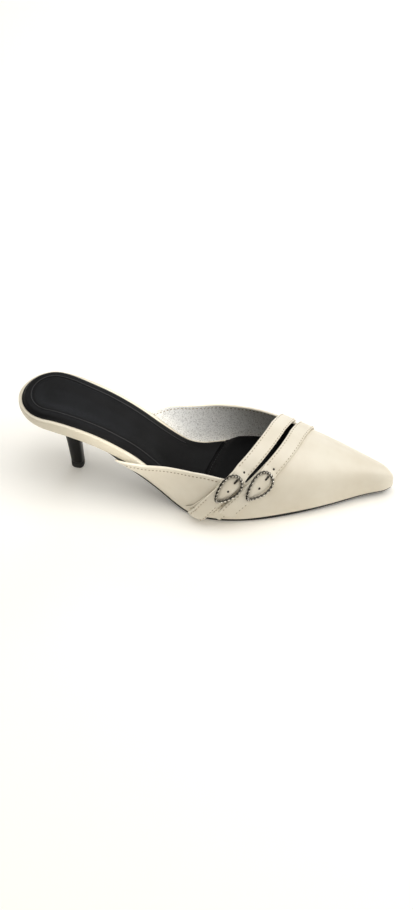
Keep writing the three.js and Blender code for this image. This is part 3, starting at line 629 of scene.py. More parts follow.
class Look:
    """A small helper round one node material."""

    def __init__(self, name, base, roughness, metallic=0.0):
        self.material = bpy.data.materials.new(name)
        self.material.use_nodes = True
        self.nodes = self.material.node_tree.nodes
        self.links = self.material.node_tree.links
        self.nodes.clear()
        self.output = self.nodes.new("ShaderNodeOutputMaterial")
        self.shader = self.nodes.new("ShaderNodeBsdfPrincipled")
        self.links.new(self.shader.outputs["BSDF"], self.output.inputs["Surface"])
        self.shader.inputs["Base Color"].default_value = (*base, 1)
        self.shader.inputs["Roughness"].default_value = roughness
        self.shader.inputs["Metallic"].default_value = metallic
        self.coordinates = self.nodes.new("ShaderNodeTexCoord")

    def set(self, socket, value):
        self.shader.inputs[socket].default_value = value

    def texture(self, kind, output, settings, turn=(0, 0, 0)):
        """One output of a texture node, laid out in the object's own coordinates."""
        mapping = self.nodes.new("ShaderNodeMapping")
        mapping.inputs["Rotation"].default_value = turn
        self.links.new(self.coordinates.outputs["Object"], mapping.inputs["Vector"])
        node = self.nodes.new(kind)
        for socket, value in settings.items():
            node.inputs[socket].default_value = value
        self.links.new(mapping.outputs["Vector"], node.inputs["Vector"])
        return node.outputs[output]

    def noise(self, scale, detail=3.0, roughness=0.55):
        settings = {"Scale": scale, "Detail": detail, "Roughness": roughness}
        return self.texture("ShaderNodeTexNoise", "Fac", settings)

    def cells(self, scale):
        distance = self.texture("ShaderNodeTexVoronoi", "Distance", {"Scale": scale})
        distance.node.feature = "DISTANCE_TO_EDGE"
        return distance

    def waves(self, scale, degrees, distortion):
        settings = {"Scale": scale, "Distortion": distortion, "Detail": 2, "Detail Scale": 2}
        turn = (0, 0, math.radians(degrees))
        return self.texture("ShaderNodeTexWave", "Fac", settings, turn)

    def span(self, value, low, high, to_low, to_high):
        node = self.nodes.new("ShaderNodeMapRange")
        limits = {"From Min": low, "From Max": high, "To Min": to_low, "To Max": to_high}
        for socket, number in limits.items():
            node.inputs[socket].default_value = number
        self.links.new(value, node.inputs["Value"])
        return node.outputs["Result"]

    def combine(self, operation, a, b):
        node = self.nodes.new("ShaderNodeMath")
        node.operation = operation
        for socket, value in zip(node.inputs, (a, b)):
            if isinstance(value, (int, float)):
                socket.default_value = value
            else:
                self.links.new(value, socket)
        return node.outputs[0]

    def bump(self, height, distance, strength=1.0):
        node = self.nodes.new("ShaderNodeBump")
        node.inputs["Distance"].default_value = distance
        node.inputs["Strength"].default_value = strength
        self.links.new(height, node.inputs["Height"])
        earlier = self.shader.inputs["Normal"].links
        if earlier:
            self.links.new(earlier[0].from_socket, node.inputs["Normal"])
        self.links.new(node.outputs["Normal"], self.shader.inputs["Normal"])

    def colours(self, value, stops):
        ramp = self.nodes.new("ShaderNodeValToRGB")
        marks = ramp.color_ramp.elements
        while len(marks) < len(stops):
            marks.new(0.5)
        for mark, (at, colour) in zip(marks, stops):
            mark.position = at
            mark.color = (*colour, 1)
        self.links.new(value, ramp.inputs["Fac"])
        self.links.new(ramp.outputs["Color"], self.shader.inputs["Base Color"])

    def shine(self, value, low, high):
        self.links.new(self.span(value, 0.3, 0.7, low, high), self.shader.inputs["Roughness"])


def cream_leather(name, tone=1.0, warm=0.0):
    light = (0.83 * tone, (0.77 - 0.01 * warm) * tone, (0.645 - 0.05 * warm) * tone)
    dark = (0.76 * tone, (0.69 - 0.01 * warm) * tone, (0.56 - 0.05 * warm) * tone)
    look = Look(name, light, 0.42)
    look.colours(look.noise(38, 3), [(0.3, dark), (0.62, light)])
    look.shine(look.noise(160, 4), 0.34, 0.46)
    pores = look.combine("MINIMUM", look.cells(1500), 0.35)
    look.bump(pores, 0.00005, 0.35)
    look.bump(look.noise(210, 5, 0.6), 0.00022, 0.3)
    look.set("Specular IOR Level", 0.5)
    look.set("Coat Weight", 0.12)
    look.set("Coat Roughness", 0.22)
    return look.material


def black_sock_leather(name, tone, gloss):
    low = (0.007 * tone, 0.007 * tone, 0.0072 * tone)
    high = (0.011 * tone, 0.0109 * tone, 0.0116 * tone)
    look = Look(name, high, 0.45)
    look.colours(look.noise(60, 3), [(0.3, low), (0.7, high)])
    first = look.waves(640, 38, 2.2)
    second = look.waves(640, -42, 2.2)
    hatch = look.combine("MULTIPLY", first, second)
    look.bump(hatch, 0.00006, 0.55)
    look.bump(look.cells(1100), 0.00006, 0.4)
    look.shine(look.noise(420, 4), 0.42, 0.56)
    look.set("Specular IOR Level", gloss)
    return look.material


def black_gloss():
    look = Look("heel_black", (0.005, 0.005, 0.0052), 0.3)
    look.shine(look.noise(220, 4), 0.26, 0.36)
    look.bump(look.noise(320, 4), 0.00006, 0.3)
    look.set("Specular IOR Level", 0.16)
    return look.material


def black_rubber(name, roughness):
    look = Look(name, (0.01, 0.01, 0.01), roughness)
    look.shine(look.noise(300, 4), roughness - 0.06, roughness + 0.08)
    look.bump(look.noise(900, 3), 0.00005, 0.5)
    return look.material


def grey_lining():
    look = Look("grey_lining", (0.93, 0.92, 0.9), 0.45)
    speckle = look.noise(1150, 3, 0.6)
    dull, plain, bright = (0.6, 0.595, 0.58), (0.92, 0.915, 0.9), (1.0, 1.0, 0.98)
    look.colours(speckle, [(0.38, dull), (0.5, plain), (0.6, bright)])
    look.bump(speckle, 0.00012, 0.6)
    look.bump(look.noise(120, 3), 0.0002, 0.25)
    return look.material


def metal(name, dark, light):
    look = Look(name, light, 0.22, 1.0)
    look.shine(look.noise(500, 3), 0.16, 0.28)
    look.colours(look.noise(700, 3), [(0.35, dark), (0.6, light)])
    return look.material


def thread(name, colour):
    look = Look(name, colour, 0.55)
    look.bump(look.noise(3500, 2), 0.00004, 0.5)
    return look.material


# Dark discs for the punched holes: painted shade inside them.
def hole_painted_shade():
    look = Look("punched_hole_painted_shade", (0.03, 0.022, 0.016), 0.8)
    look.bump(look.noise(2500, 2), 0.00003, 0.4)
    return look.material


CREAM = cream_leather("cream_leather")
CREAM_STRAP = cream_leather("cream_strap_leather")
CREAM_BAND = cream_leather("cream_band_leather", 0.96, 0.5)
# Rims painted lighter than the leather: a painted highlight on the rounded edges.
CREAM_RIM_HIGHLIGHT = cream_leather("cream_rim_painted_highlight", 1.08)
# Rims painted darker and warmer: painted shade along the lower edge of the straps.
CREAM_RIM_SHADE = cream_leather("cream_rim_painted_shade", 0.5, 1.5)
SOCK_LEATHER = black_sock_leather("black_sock_leather", 0.75, 0.1)
# A darker, duller copy of the sock leather for the front pad: painted shade under the straps.
PAD_SHADE_LEATHER = black_sock_leather("black_pad_painted_shade", 0.55, 0.07)
LINING = grey_lining()
# Black for the inner faces in the toe of the upper: painted shade where the toe's inside lies in shade.
TOE_SHADE_BLACK = black_rubber("toe_painted_shade", 0.8)
HEEL_BLACK = black_gloss()
SOLE_RUBBER = black_rubber("sole_rubber", 0.62)
TIP_RUBBER = black_rubber("tip_rubber", 0.7)
SILVER = metal("bright_silver", (0.6, 0.57, 0.5), (0.88, 0.85, 0.78))
# Darker silver: the prongs' metal, and painted shade on the rings.
DARK_AND_SHADED_SILVER = metal("dark_silver_and_painted_shade", (0.045, 0.04, 0.033), (0.1, 0.09, 0.075))
CREAM_THREAD = thread("cream_thread", (0.3, 0.235, 0.15))
STRAP_THREAD = thread("strap_thread", (0.44, 0.36, 0.25))
BLACK_THREAD = thread("black_thread", (0.016, 0.016, 0.017))
# A line a shade lighter than the black sock: a painted highlight along its pressed line.
BORDER_HIGHLIGHT = thread("sock_border_painted_highlight", (0.022, 0.0215, 0.021))
HOLE_SHADE_LOOK = hole_painted_shade()


def add_piece(piece, slot, *replaced):
    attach(piece, "root")
    if replaced:
        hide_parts(*replaced)
    return piece


def solid_piece(name, points, faces, looks, slot, *replaced, kinds=None, smooth=True):
    """A closed piece that faces outwards. "kinds" picks the look of each face."""
    made = new_object(name, points, facing_out(points, faces), looks, kinds, smooth)
    return add_piece(made, slot, *replaced)


# The sole, the wrapped footbed board and the heel

OUTSOLE_COLUMNS = 56
SOLE_CHANNEL_INSET = 4.5
SOLE_CHANNEL_DEPTH = 0.18
SOLE_CHANNEL_WIDTH = 0.5
SOLE_RIM_BULGE = 0.35


def make_outsole():
    rear = SOLE_REAR_AT * FOOTBED_LENGTH
    tip = FOOTBED_LENGTH + UPPER_GROW - float(sole_trim(1.0)) * BALL_WIDTH - 0.4 * SOLE_THICKNESS - TIP_CUT
    lengths = stations(rear, tip, 0, TOE_ROUND, stride=1.2, corner=14)
    rim_round = SOLE_RIM_BULGE * SOLE_THICKNESS / 2
    grow = UPPER_GROW - sole_trim(lengths / FOOTBED_LENGTH) * BALL_WIDTH - rim_round
    outer, inner = edge_y(lengths, -1, grow), edge_y(lengths, 1, grow)
    share = 0.5 - 0.5 * np.cos(np.linspace(0, math.pi, OUTSOLE_COLUMNS + 1))
    y = lerp(outer[:, None], inner[:, None], share[None])
    length = lengths[:, None] + 0 * y
    from_edge = np.minimum(y - outer[:, None], inner[:, None] - y)
    channel = SOLE_CHANNEL_DEPTH * hump(from_edge - SOLE_CHANNEL_INSET, SOLE_CHANNEL_WIDTH)
    top = place(length, y, sole_top_z(length))
    bottom = place(length, y, tread_z(length) + channel)
    quads = grid_quads(len(lengths) - 1, OUTSOLE_COLUMNS)
    points, faces, _ = rounded_solid(top, bottom, quads, rim=4, bulge=SOLE_RIM_BULGE)
    solid_piece("outsole_rubber", points, faces, [SOLE_RUBBER], "black_rubber", "outsole")


BAND_TOP_ROUND = 1.3
BAND_TOP_STEPS = 6
BAND_SIDE_STEPS = 14


def make_board():
    end = FOOTBED_LENGTH - TIP_CUT
    lengths = stations(TIP_CUT, end, HEEL_ROUND, TOE_ROUND, stride=1.6, corner=30)
    loops = []
    for length in lengths:
        top, bottom = float(board_top_z(length)), float(board_bottom_z(length))
        edges = {side: float(edge_y(length, side, 0)) for side in (-1, 1)}
        width = edges[1] - edges[-1]
        at_heel = HEEL_UNDERCUT * (1 - float(smoothstep(length, 0, SEAT_TUCK_LENGTH)))
        wanted = SEAT_UNDERCUT * min(1, (top - bottom) / SEAT_THICKNESS) + at_heel
        undercut = min(wanted, width / 4)
        roll = min(BAND_TOP_ROUND, width / 6, 0.3 * (top - bottom))
        loop = []
        for side in (-1, 1):
            edge = edges[side]
            arc = []
            for i in range(BAND_TOP_STEPS + 1):
                angle = i / BAND_TOP_STEPS * math.pi / 2
                y = edge - side * roll * (1 - math.sin(angle))
                arc.append((length, y, top - roll * (1 - math.cos(angle))))
            for i in range(BAND_SIDE_STEPS + 1):
                angle = i / BAND_SIDE_STEPS * math.pi / 2
                y = edge - side * undercut * (1 - math.cos(angle))
                arc.append((length, y, lerp(top, bottom, 0.45 + 0.55 * math.sin(angle))))
            loop += arc if side < 0 else arc[::-1]
        loops.append([(x - HEEL_SETBACK, y, z) for x, y, z in loop])
    points, faces = loft(np.array(loops))
    solid_piece("footbed_band", points, faces, [CREAM_BAND], "cream_leather", "insole_board")


HEEL_SIDES = 96
HEEL_STEPS = 80
TIP_BEVEL = 0.35
HEEL_BREAST_DEPTH = 0.8
HEEL_BREAST_POWER = 0.5
HEEL_SIDE_POWER = 0.85


def heel_loop(z, centre, length, width, seat):
    turns = circle_turns(HEEL_SIDES)
    cos, sin = np.cos(turns), np.sin(turns)
    ahead = np.where(cos > 0, HEEL_BREAST_DEPTH * np.abs(cos) ** HEEL_BREAST_POWER, cos)
    side = np.sign(sin) * np.abs(sin) ** HEEL_SIDE_POWER
    x = centre + ahead * length / (1 + HEEL_BREAST_DEPTH)
    drop = sole_top_z(x + HEEL_SETBACK) - sole_top_z(centre + HEEL_SETBACK)
    return np.stack([x, side * width / 2, z + seat * drop], -1)


def make_heel():
    taper_at, flare_at, seat_at = splines(HEEL_LEVELS, HEEL_COLUMNS)
    top_z = float(sole_top_z(HEEL_SETBACK - HEEL_LEAN))
    loops = []
    for up in np.linspace(0, 1, HEEL_STEPS):
        taper, flare, seat = (float(np.clip(f(up), 0, 1)) for f in (taper_at, flare_at, seat_at))
        length = lerp(lerp(HEEL_FOOT_LENGTH, HEEL_STEM_LENGTH, taper), HEEL_TOP_LENGTH, flare)
        width = lerp(lerp(HEEL_FOOT_WIDTH, HEEL_STEM_WIDTH, taper), HEEL_TOP_WIDTH, flare)
        z = lerp(HEEL_TIP_HEIGHT + CLEARANCE, top_z, up)
        loops.append(heel_loop(z, -HEEL_LEAN * up, length, width, seat))
    points, faces = loft(np.array(loops))
    solid_piece("heel_cover", points, faces, [HEEL_BLACK], "black_gloss", "heel")


def make_heel_tip():
    loops = []
    shoulder = HEEL_TIP_HEIGHT - TIP_BEVEL
    for z, inset in ((0, TIP_BEVEL), (TIP_BEVEL, 0), (shoulder, 0), (HEEL_TIP_HEIGHT, TIP_BEVEL)):
        length, width = HEEL_FOOT_LENGTH - 2 * inset, HEEL_FOOT_WIDTH - 2 * inset
        loops.append(heel_loop(z, 0, length, width, 0))
    points, faces = loft(np.array(loops))
    solid_piece("heel_top_piece", points, faces, [TIP_RUBBER], "black_rubber", "heel_tip")


# The sock: the black leather that the foot stands on


def seam_length(y):
    across = np.clip((y + BALL_WIDTH / 2) / BALL_WIDTH, 0, 1)
    return lerp(SEAM_OUTER_AT, SEAM_INNER_AT, across**2) * FOOTBED_LENGTH


BORDER_EXTRA = 1.5
BORDER_RISE = 26.0
BORDER_END = 118.0


def inner_sock_edge(length):
    """The sock leaves a slightly wider cream border along the inner side of the waist."""
    rise = smoothstep(length, HEEL_ROUND, HEEL_ROUND + BORDER_RISE)
    fall = 1 - smoothstep(length, BORDER_END - BORDER_RISE, BORDER_END)
    return edge_y(length, 1, -SOCK_INSET - BORDER_EXTRA * rise * fall)


def sock_edge_distance(length, y):
    outer = edge_y(length, -1, -SOCK_INSET)
    inner = inner_sock_edge(length)
    lateral = np.minimum(y - outer, inner - y)
    centre = plan_middle(length)
    behind = HEEL_ROUND - length
    widest = plan_half(length) - SOCK_INSET
    reach = np.hypot(behind, y - centre)
    share = np.hypot(behind / (HEEL_ROUND - SOCK_INSET), (y - centre) / widest)
    round_back = reach / np.maximum(share, 1e-6) - reach
    return np.where(behind <= 0, lateral, round_back)


# Lengths and places that depend on each other are worked out again this many times.
SETTLE_ROUNDS = 4
SOCK_REACH = SOCK_RIM_WIDTH * 2.4
NARROW_SHARE = 0.9
# Where the sock's columns lie, as shares of its rim's width from each edge.
SOCK_SHARES = np.array(
    [0, 0.03, 0.07, 0.12, 0.18, 0.26, 0.36, 0.48, 0.6, 0.7, 0.78, 0.84, 0.89, 0.93]
    + [0.97, 1.01, 1.05, 1.1, 1.16, 1.23, 1.31, 1.42, 1.56, 1.72, 1.9, 2.1, 2.25, 2.35]
)


def sock_sheet(lengths, seam_at_start, seam_at_end, height):
    """Top and bottom points of the sock, between end lines that may follow the seam."""
    insets = SOCK_SHARES * SOCK_RIM_WIDTH
    steps = len(insets)
    columns = 2 * steps
    j = np.arange(columns + 1)
    side = np.where(j < steps, -1, 1)
    step = np.where(side < 0, j, columns - j)
    wanted = np.append(insets, 0)[step][None]
    at_centre = (step == steps)[None]
    first, last = lengths[0], lengths[-1]
    base = lengths[:, None] + 0 * wanted
    share = (base - first) / (last - first)
    length = base.copy()
    for _ in range(SETTLE_ROUNDS):
        outer = edge_y(length, -1, -SOCK_INSET)
        inner = inner_sock_edge(length)
        half_width = (inner - outer) / 2
        reach = half_width * np.minimum(1, wanted / SOCK_REACH)
        inset = np.maximum(reach, np.minimum(wanted, half_width * NARROW_SHARE))
        inset = np.where(at_centre, half_width, inset)
        y = np.where(side[None] < 0, outer + inset, inner - inset)
        bow_start = seam_length(y) + CLEARANCE / 2 - first if seam_at_start else 0
        bow_end = seam_length(y) - CLEARANCE / 2 - last if seam_at_end else 0
        length = base + lerp(bow_start, bow_end, share)
    lower = board_top_z(length) + CLEARANCE
    return place(length, y, lower + height(length, y)), place(length, y, lower), columns


RIM_GROOVE = 0.5
RIM_GROOVE_WIDTH = 0.45
RIM_GROOVE_INSET = SOCK_RIM_WIDTH * 0.93
RIM_BEAD = 0.2
RIM_BEAD_WIDTH = 0.5
RIM_BEAD_INSET = SOCK_RIM_WIDTH * 0.82
DISH_INSET = SOCK_RIM_WIDTH * 2.3
SOCK_EDGE_SHARE = 0.2
SEAM_TURN_DEPTH = 0.5
SEAM_TURN_WIDTH = 0.7
SEAM_STITCH_AHEAD = 2.6
SEAM_GROOVE_DEPTH = 0.45
SEAM_GROOVE_WIDTH = 0.5
PAD_EDGE_DEPTH = 0.45
PAD_EDGE_WIDTH = 0.9
PAD_WAVE_HEIGHT = 0.12


def rear_sock_height(length, y):
    distance = np.maximum(0, sock_edge_distance(length, y))
    roll = lerp(SOCK_EDGE_SHARE, 1, smoothstep(distance, 0, SOCK_ROLL_WIDTH))
    dish = smoothstep(distance, SOCK_RIM_WIDTH, DISH_INSET)
    groove = RIM_GROOVE * hump(distance - RIM_GROOVE_INSET, RIM_GROOVE_WIDTH)
    bead = RIM_BEAD * hump(distance - RIM_BEAD_INSET, RIM_BEAD_WIDTH)
    behind_seam = seam_length(y) - length
    turned = SEAM_TURN_DEPTH * hump(np.maximum(behind_seam, 0), SEAM_TURN_WIDTH)
    return SOCK_THICKNESS * roll - SOCK_DISH * dish - groove + bead - turned


def front_sock_height(length, y):
    ahead = length - seam_length(y)
    distance = sock_edge_distance(length, y)
    puff = smoothstep(np.minimum(distance, ahead), 0, PAD_ROLL_WIDTH)
    ramp = np.clip(ahead / PAD_RAMP_LENGTH, 0, 1)
    flat = lerp(SOCK_THICKNESS - SOCK_DISH, PAD_THICKNESS, ramp)
    seam = SEAM_GROOVE_DEPTH * hump(ahead - SEAM_STITCH_AHEAD, SEAM_GROOVE_WIDTH)
    rolled = PAD_EDGE_DEPTH * hump(np.maximum(distance, 0), PAD_EDGE_WIDTH)
    ripples = np.sin(length * 0.55 + 0.8 * np.sin(y * 0.21)) * np.sin(y * 0.33 + 0.6)
    waves = PAD_WAVE_HEIGHT * ripples * puff
    return flat + PAD_CROWN * puff - seam - rolled + waves


def make_sock(name, node, lengths, at_front, height, leather):
    top, bottom, columns = sock_sheet(lengths, at_front, not at_front, height)
    quads = grid_quads(len(lengths) - 1, columns)
    points, faces, _ = rounded_solid(top, bottom, quads, rim=3, bulge=0.2)
    return solid_piece(name, points, faces, [leather], "black_leather", node)


BORDER_LINE_RADIUS = 0.26
BORDER_LINE_SIDES = 8
BORDER_LINE_SINK = 0.08
BORDER_LINE_END_GAP = 14.0


def line_on_sock(length, y, height, sink=0.0):
    """Points of a line on the sock, and the direction up at each."""
    z = board_top_z(length) + CLEARANCE + height(length, y) - sink
    return place(length, y, z), np.tile([0.0, 0.0, 1.0], (len(length), 1))


def make_border_line(last):
    """A thin tube round the sock, inside its raised border, lighter than the sock: a painted highlight on
    the pressed line.
    """
    inset = RIM_BEAD_INSET
    side = np.linspace(last, HEEL_ROUND, 90)
    outer = np.stack([side, edge_y(side, -1, -SOCK_INSET) + inset], axis=-1)
    inner = np.stack([side, inner_sock_edge(side) - inset], axis=-1)[::-1]
    turn = np.linspace(-math.pi / 2, math.pi / 2, 80)[1:-1]
    length = HEEL_ROUND + 0 * turn
    for _ in range(SETTLE_ROUNDS):
        centre = plan_middle(length)
        widest = plan_half(length) - SOCK_INSET
        edge = 1 / np.hypot(np.cos(turn) / (HEEL_ROUND - SOCK_INSET), np.sin(turn) / widest)
        length = HEEL_ROUND - (edge - inset) * np.cos(turn)
    back = np.stack([length, centre + (edge - inset) * np.sin(turn)], axis=-1)
    length, y = np.concatenate([outer, back, inner]).T
    line, up = line_on_sock(length, y, rear_sock_height, BORDER_LINE_SINK)
    points, faces = loft(tube_loops(line, up, BORDER_LINE_RADIUS, BORDER_LINE_SIDES, closed=False))
    solid_piece("sock_border_painted_highlight", points, faces, [BORDER_HIGHLIGHT], "black_leather")


def make_socks():
    rear_end = SEAM_OUTER_AT * FOOTBED_LENGTH
    rear_start = SOCK_INSET + TIP_CUT
    rear = stations(rear_start, rear_end, HEEL_ROUND - SOCK_INSET, 0, stride=0.8, corner=60)
    front_end = FOOTBED_LENGTH - SOCK_INSET - TIP_CUT
    front = stations(rear_end, front_end, 0, TOE_ROUND, stride=1.3, corner=12)
    pieces = [
        make_sock("sock_rear_leather", "sock_rear", rear, False, rear_sock_height, SOCK_LEATHER),
        make_sock("sock_front_pad", "sock_front", front, True, front_sock_height, PAD_SHADE_LEATHER),
    ]
    make_border_line(rear_end - BORDER_LINE_END_GAP)
    y = np.linspace(-31, 31, 90)
    length = seam_length(y) + SEAM_STITCH_AHEAD
    inside = sock_edge_distance(length, y) > 2
    line = line_on_sock(length[inside], y[inside], front_sock_height)
    stitches("sock_seam_stitches", [line], BLACK_THREAD, "black_leather")
    return pieces


# The upper

STRIP_COLUMNS = 34
THROAT_COLUMNS = 96
VAMP_ROWS = 130
QUARTER_ROWS = 110
RIM_RETREAT = 0.5
RIM_BULGE = 0.6
RELIEF_FADE = 0.02
FORM_GIRTH = 125.0


def outer_top(along):
    return turn_at_height(along, topline_outer(along) * QUARTER_HEIGHT - RIM_RETREAT, -1)


def inner_top(along):
    return turn_at_height(along, topline_inner(along) * QUARTER_HEIGHT - RIM_RETREAT, 1)


def crease(along, turn, start, end, width, depth):
    """A soft fold along a straight line between two places, negative where it sinks in."""
    scale = np.array([FOOTBED_LENGTH, FORM_GIRTH])
    a, b = np.array(start) * scale, np.array(end) * scale
    point = np.stack([along * scale[0], turn * scale[1]], -1)
    run = b - a
    share = np.clip(((point - a) @ run) / (run @ run), 0, 1)
    distance = np.linalg.norm(point - (a + share[..., None] * run), axis=-1)
    fade = np.sqrt(np.clip(4 * share * (1 - share), 0.04, 1))
    return depth * fade * hump(distance, width)


QUARTER_CREASES = [
    ((0.3, 0.022), (0.37, 0.075), 1.5, 0.5),
    ((0.31, 0.012), (0.4, 0.05), 1.6, -0.4),
    ((0.37, 0.035), (0.43, 0.12), 2.2, 0.3),
    ((0.44, 0.03), (0.5, 0.13), 3.0, -0.35),
    ((0.47, 0.03), (0.53, 0.14), 3.5, 0.35),
    ((0.4, 0.02), (0.47, 0.09), 2.4, -0.25),
    ((0.36, 0.955), (0.45, 0.93), 3.0, 0.3),
    ((0.42, 0.965), (0.52, 0.9), 3.4, -0.3),
]
VAMP_CREASES = [
    ((0.66, 0.12), (0.72, 0.2), 3.4, -0.22),
    ((0.7, 0.1), (0.76, 0.22), 4.0, 0.2),
]


def upper_relief(along, turn):
    relief = np.zeros_like(along)
    for start, end, width, depth in QUARTER_CREASES + VAMP_CREASES:
        relief = relief + crease(along, turn, start, end, width, depth)
    return relief


def upper_spots():
    """(along, turn) of the upper's points, and its quads."""
    columns = 2 * STRIP_COLUMNS + THROAT_COLUMNS
    j = np.arange(columns + 1)
    across = np.clip((j - STRIP_COLUMNS) / THROAT_COLUMNS, 0, 1)
    along = lerp(THROAT_OUTER_ALONG, THROAT_INNER_ALONG, across) + THROAT_BOW * 4 * across * (1 - across)
    outer, inner = float(outer_top(THROAT_OUTER_ALONG)), float(inner_top(THROAT_INNER_ALONG))
    turn = lerp(outer, inner, across)
    turn = np.where(j < STRIP_COLUMNS, outer * j / STRIP_COLUMNS, turn)
    turn = np.where(j > columns - STRIP_COLUMNS, 1 - (1 - inner) * (columns - j) / STRIP_COLUMNS, turn)
    share = (1 - (1 - np.arange(VAMP_ROWS + 1) / VAMP_ROWS) ** 1.5)[:, None]
    vamp_along = lerp(along[None], 1, share)
    vamp_turn = lerp(turn[None], (j / columns)[None], share)
    spots = [np.stack([vamp_along, vamp_turn], -1).reshape(-1, 2)]
    quads = [grid_quads(VAMP_ROWS, columns)]
    nose = VAMP_ROWS * (columns + 1)
    k = np.arange(columns // 2 - 1)
    quads.append(np.stack([nose + k, nose + k + 1, nose + columns - k - 1, nose + columns - k], -1))
    base = len(spots[0])
    rear = TOPLINE_SECTIONS[0][0]
    strip = np.arange(STRIP_COLUMNS + 1) / STRIP_COLUMNS
    rows = np.arange(1, QUARTER_ROWS + 1) / QUARTER_ROWS
    for first, corner, top_at, side in (
        (0, THROAT_OUTER_ALONG, outer_top, -1),
        (columns - STRIP_COLUMNS, THROAT_INNER_ALONG, inner_top, 1),
    ):
        a = lerp(corner, rear, rows)[:, None] + 0 * strip[None]
        top = top_at(a)
        t = top * strip[None] if side < 0 else lerp(top, 1, strip[None])
        spots.append(np.stack([a, t], -1).reshape(-1, 2))
        index = base + np.arange(QUARTER_ROWS * (STRIP_COLUMNS + 1)).reshape(QUARTER_ROWS, -1)
        rows_index = np.vstack([first + np.arange(STRIP_COLUMNS + 1), index])
        base += index.size
        near, far = rows_index[1:], rows_index[:-1]
        quads.append(np.stack([near[:, :-1], near[:, 1:], far[:, 1:], far[:, :-1]], -1).reshape(-1, 4))
    spots = np.concatenate(spots)
    return spots[:, 0], spots[:, 1], np.concatenate(quads)


# Forward of this length the upper's inner faces are painted black: painted shade inside the toe.
TOE_SHADE_START = 139.0
TOE_SHADE_LOOK = 4


def make_upper():
    along, turn, quads = upper_spots()
    relief = upper_relief(along, turn)
    fade = smoothstep(turn, 0, RELIEF_FADE)
    outside = form(along, turn, relief * fade * smoothstep(1 - turn, 0, RELIEF_FADE))
    inside = form(along, turn, -UPPER_WALL + 0 * along)
    points, faces, kinds = rounded_solid(outside, inside, quads, bulge=RIM_BULGE)
    kinds = np.array(kinds)
    # Inner faces in the toe take the black look: painted shade.
    toe_shade_faces = inside.reshape(-1, 3)[quads].mean(axis=1)[:, 0] > TOE_SHADE_START
    kinds[len(quads) : 2 * len(quads)][toe_shade_faces] = TOE_SHADE_LOOK
    # The rim of the upper is painted lighter all round: a painted highlight.
    looks = [CREAM, LINING, CREAM_RIM_HIGHLIGHT, CREAM_RIM_HIGHLIGHT, TOE_SHADE_BLACK]
    solid_piece("upper_leather", points, faces, looks, "cream_leather", "upper", kinds=kinds)


TOPLINE_STITCH_INSET = 2.1
TOPLINE_STITCH_START = 0.3
OUTER_STITCH_END = THROAT_OUTER_ALONG - 0.03
INNER_STITCH_END = THROAT_INNER_ALONG - 0.04


def topline_rows():
    """Rows of stitches beside the topline, outside and through to the lining."""
    rows = []
    for top_at, end, side in ((outer_top, OUTER_STITCH_END, -1), (inner_top, INNER_STITCH_END, 1)):
        along = np.linspace(TOPLINE_STITCH_START, end, 260)
        turn = top_at(along)
        step = 1e-3
        direction = (np.full_like(along, 2 * step), top_at(along + step) - top_at(along - step))
        a, t = walk(along, turn, direction, np.zeros_like(along), side * TOPLINE_STITCH_INSET + 0 * along)
        rows.append((form(a, t, upper_relief(a, t)), form_normal(a, t, 0)))
        rows.append((form(a, t, -UPPER_WALL), -form_normal(a, t, 0)))
    return rows


# Straps, tabs and buckles

EDGE_STITCH_INSET = 1.2
STITCH_GROOVE_DEPTH = 0.2
STITCH_GROOVE_WIDTH = 0.36
STRAP_EDGE_DROP = 0.3
STRAP_EDGE_ROUND = 0.8
STRAP_RIM_BULGE = 0.45
HOLE_RADIUS = 0.75
HOLE_DEPTH = 0.5
HOLE_LIP_RADIUS = 1.3
HOLE_LIP_HEIGHT = 0.1
HOLE_LIP_WIDTH = 0.35
HOLE_SIDES = 24
HOLE_AHEAD_REAR = 15.2
HOLE_AHEAD_FRONT = 14.4
HOLE_BEHIND = -0.6
HOLE_ASIDE = 1.0
DOME_HEIGHT = 1.0


def strap_lift(path, at):
    tab_top = path.buckle_at - TAB_LEAD
    tail = path.buckle_at + TAIL_LAG
    over_tab = smoothstep(at, tab_top - 0.05, tab_top)
    flare = np.maximum(0, (at - tail) / (1 - tail)) ** 2
    return CLEARANCE + over_tab * (TAB_THICKNESS + CLEARANCE) + flare * TAIL_FLARE


RING_POINT_SHARE = 0.24
RING_SWELL_SHARE = 0.34
RING_SWELL_POWER = 0.7


def ring_outline(turn):
    """The ring's middle line in its own plane: round ahead, pointed behind."""
    angle = turn * 2 * math.pi
    narrowing = 0.5 * (1 + np.cos(angle))
    ahead = np.cos(angle) * (BUCKLE_LENGTH - BUCKLE_WIRE) / 2
    width_share = RING_POINT_SHARE + RING_SWELL_SHARE * narrowing**RING_SWELL_POWER
    aside = np.sin(angle) * (BUCKLE_WIDTH - BUCKLE_WIRE) * width_share
    return ahead, aside


def ring_half_width(ahead):
    reach = (BUCKLE_LENGTH - BUCKLE_WIRE) / 2
    turn = np.arccos(np.clip(ahead / reach, -1, 1)) / (2 * math.pi)
    return np.abs(ring_outline(turn)[1])


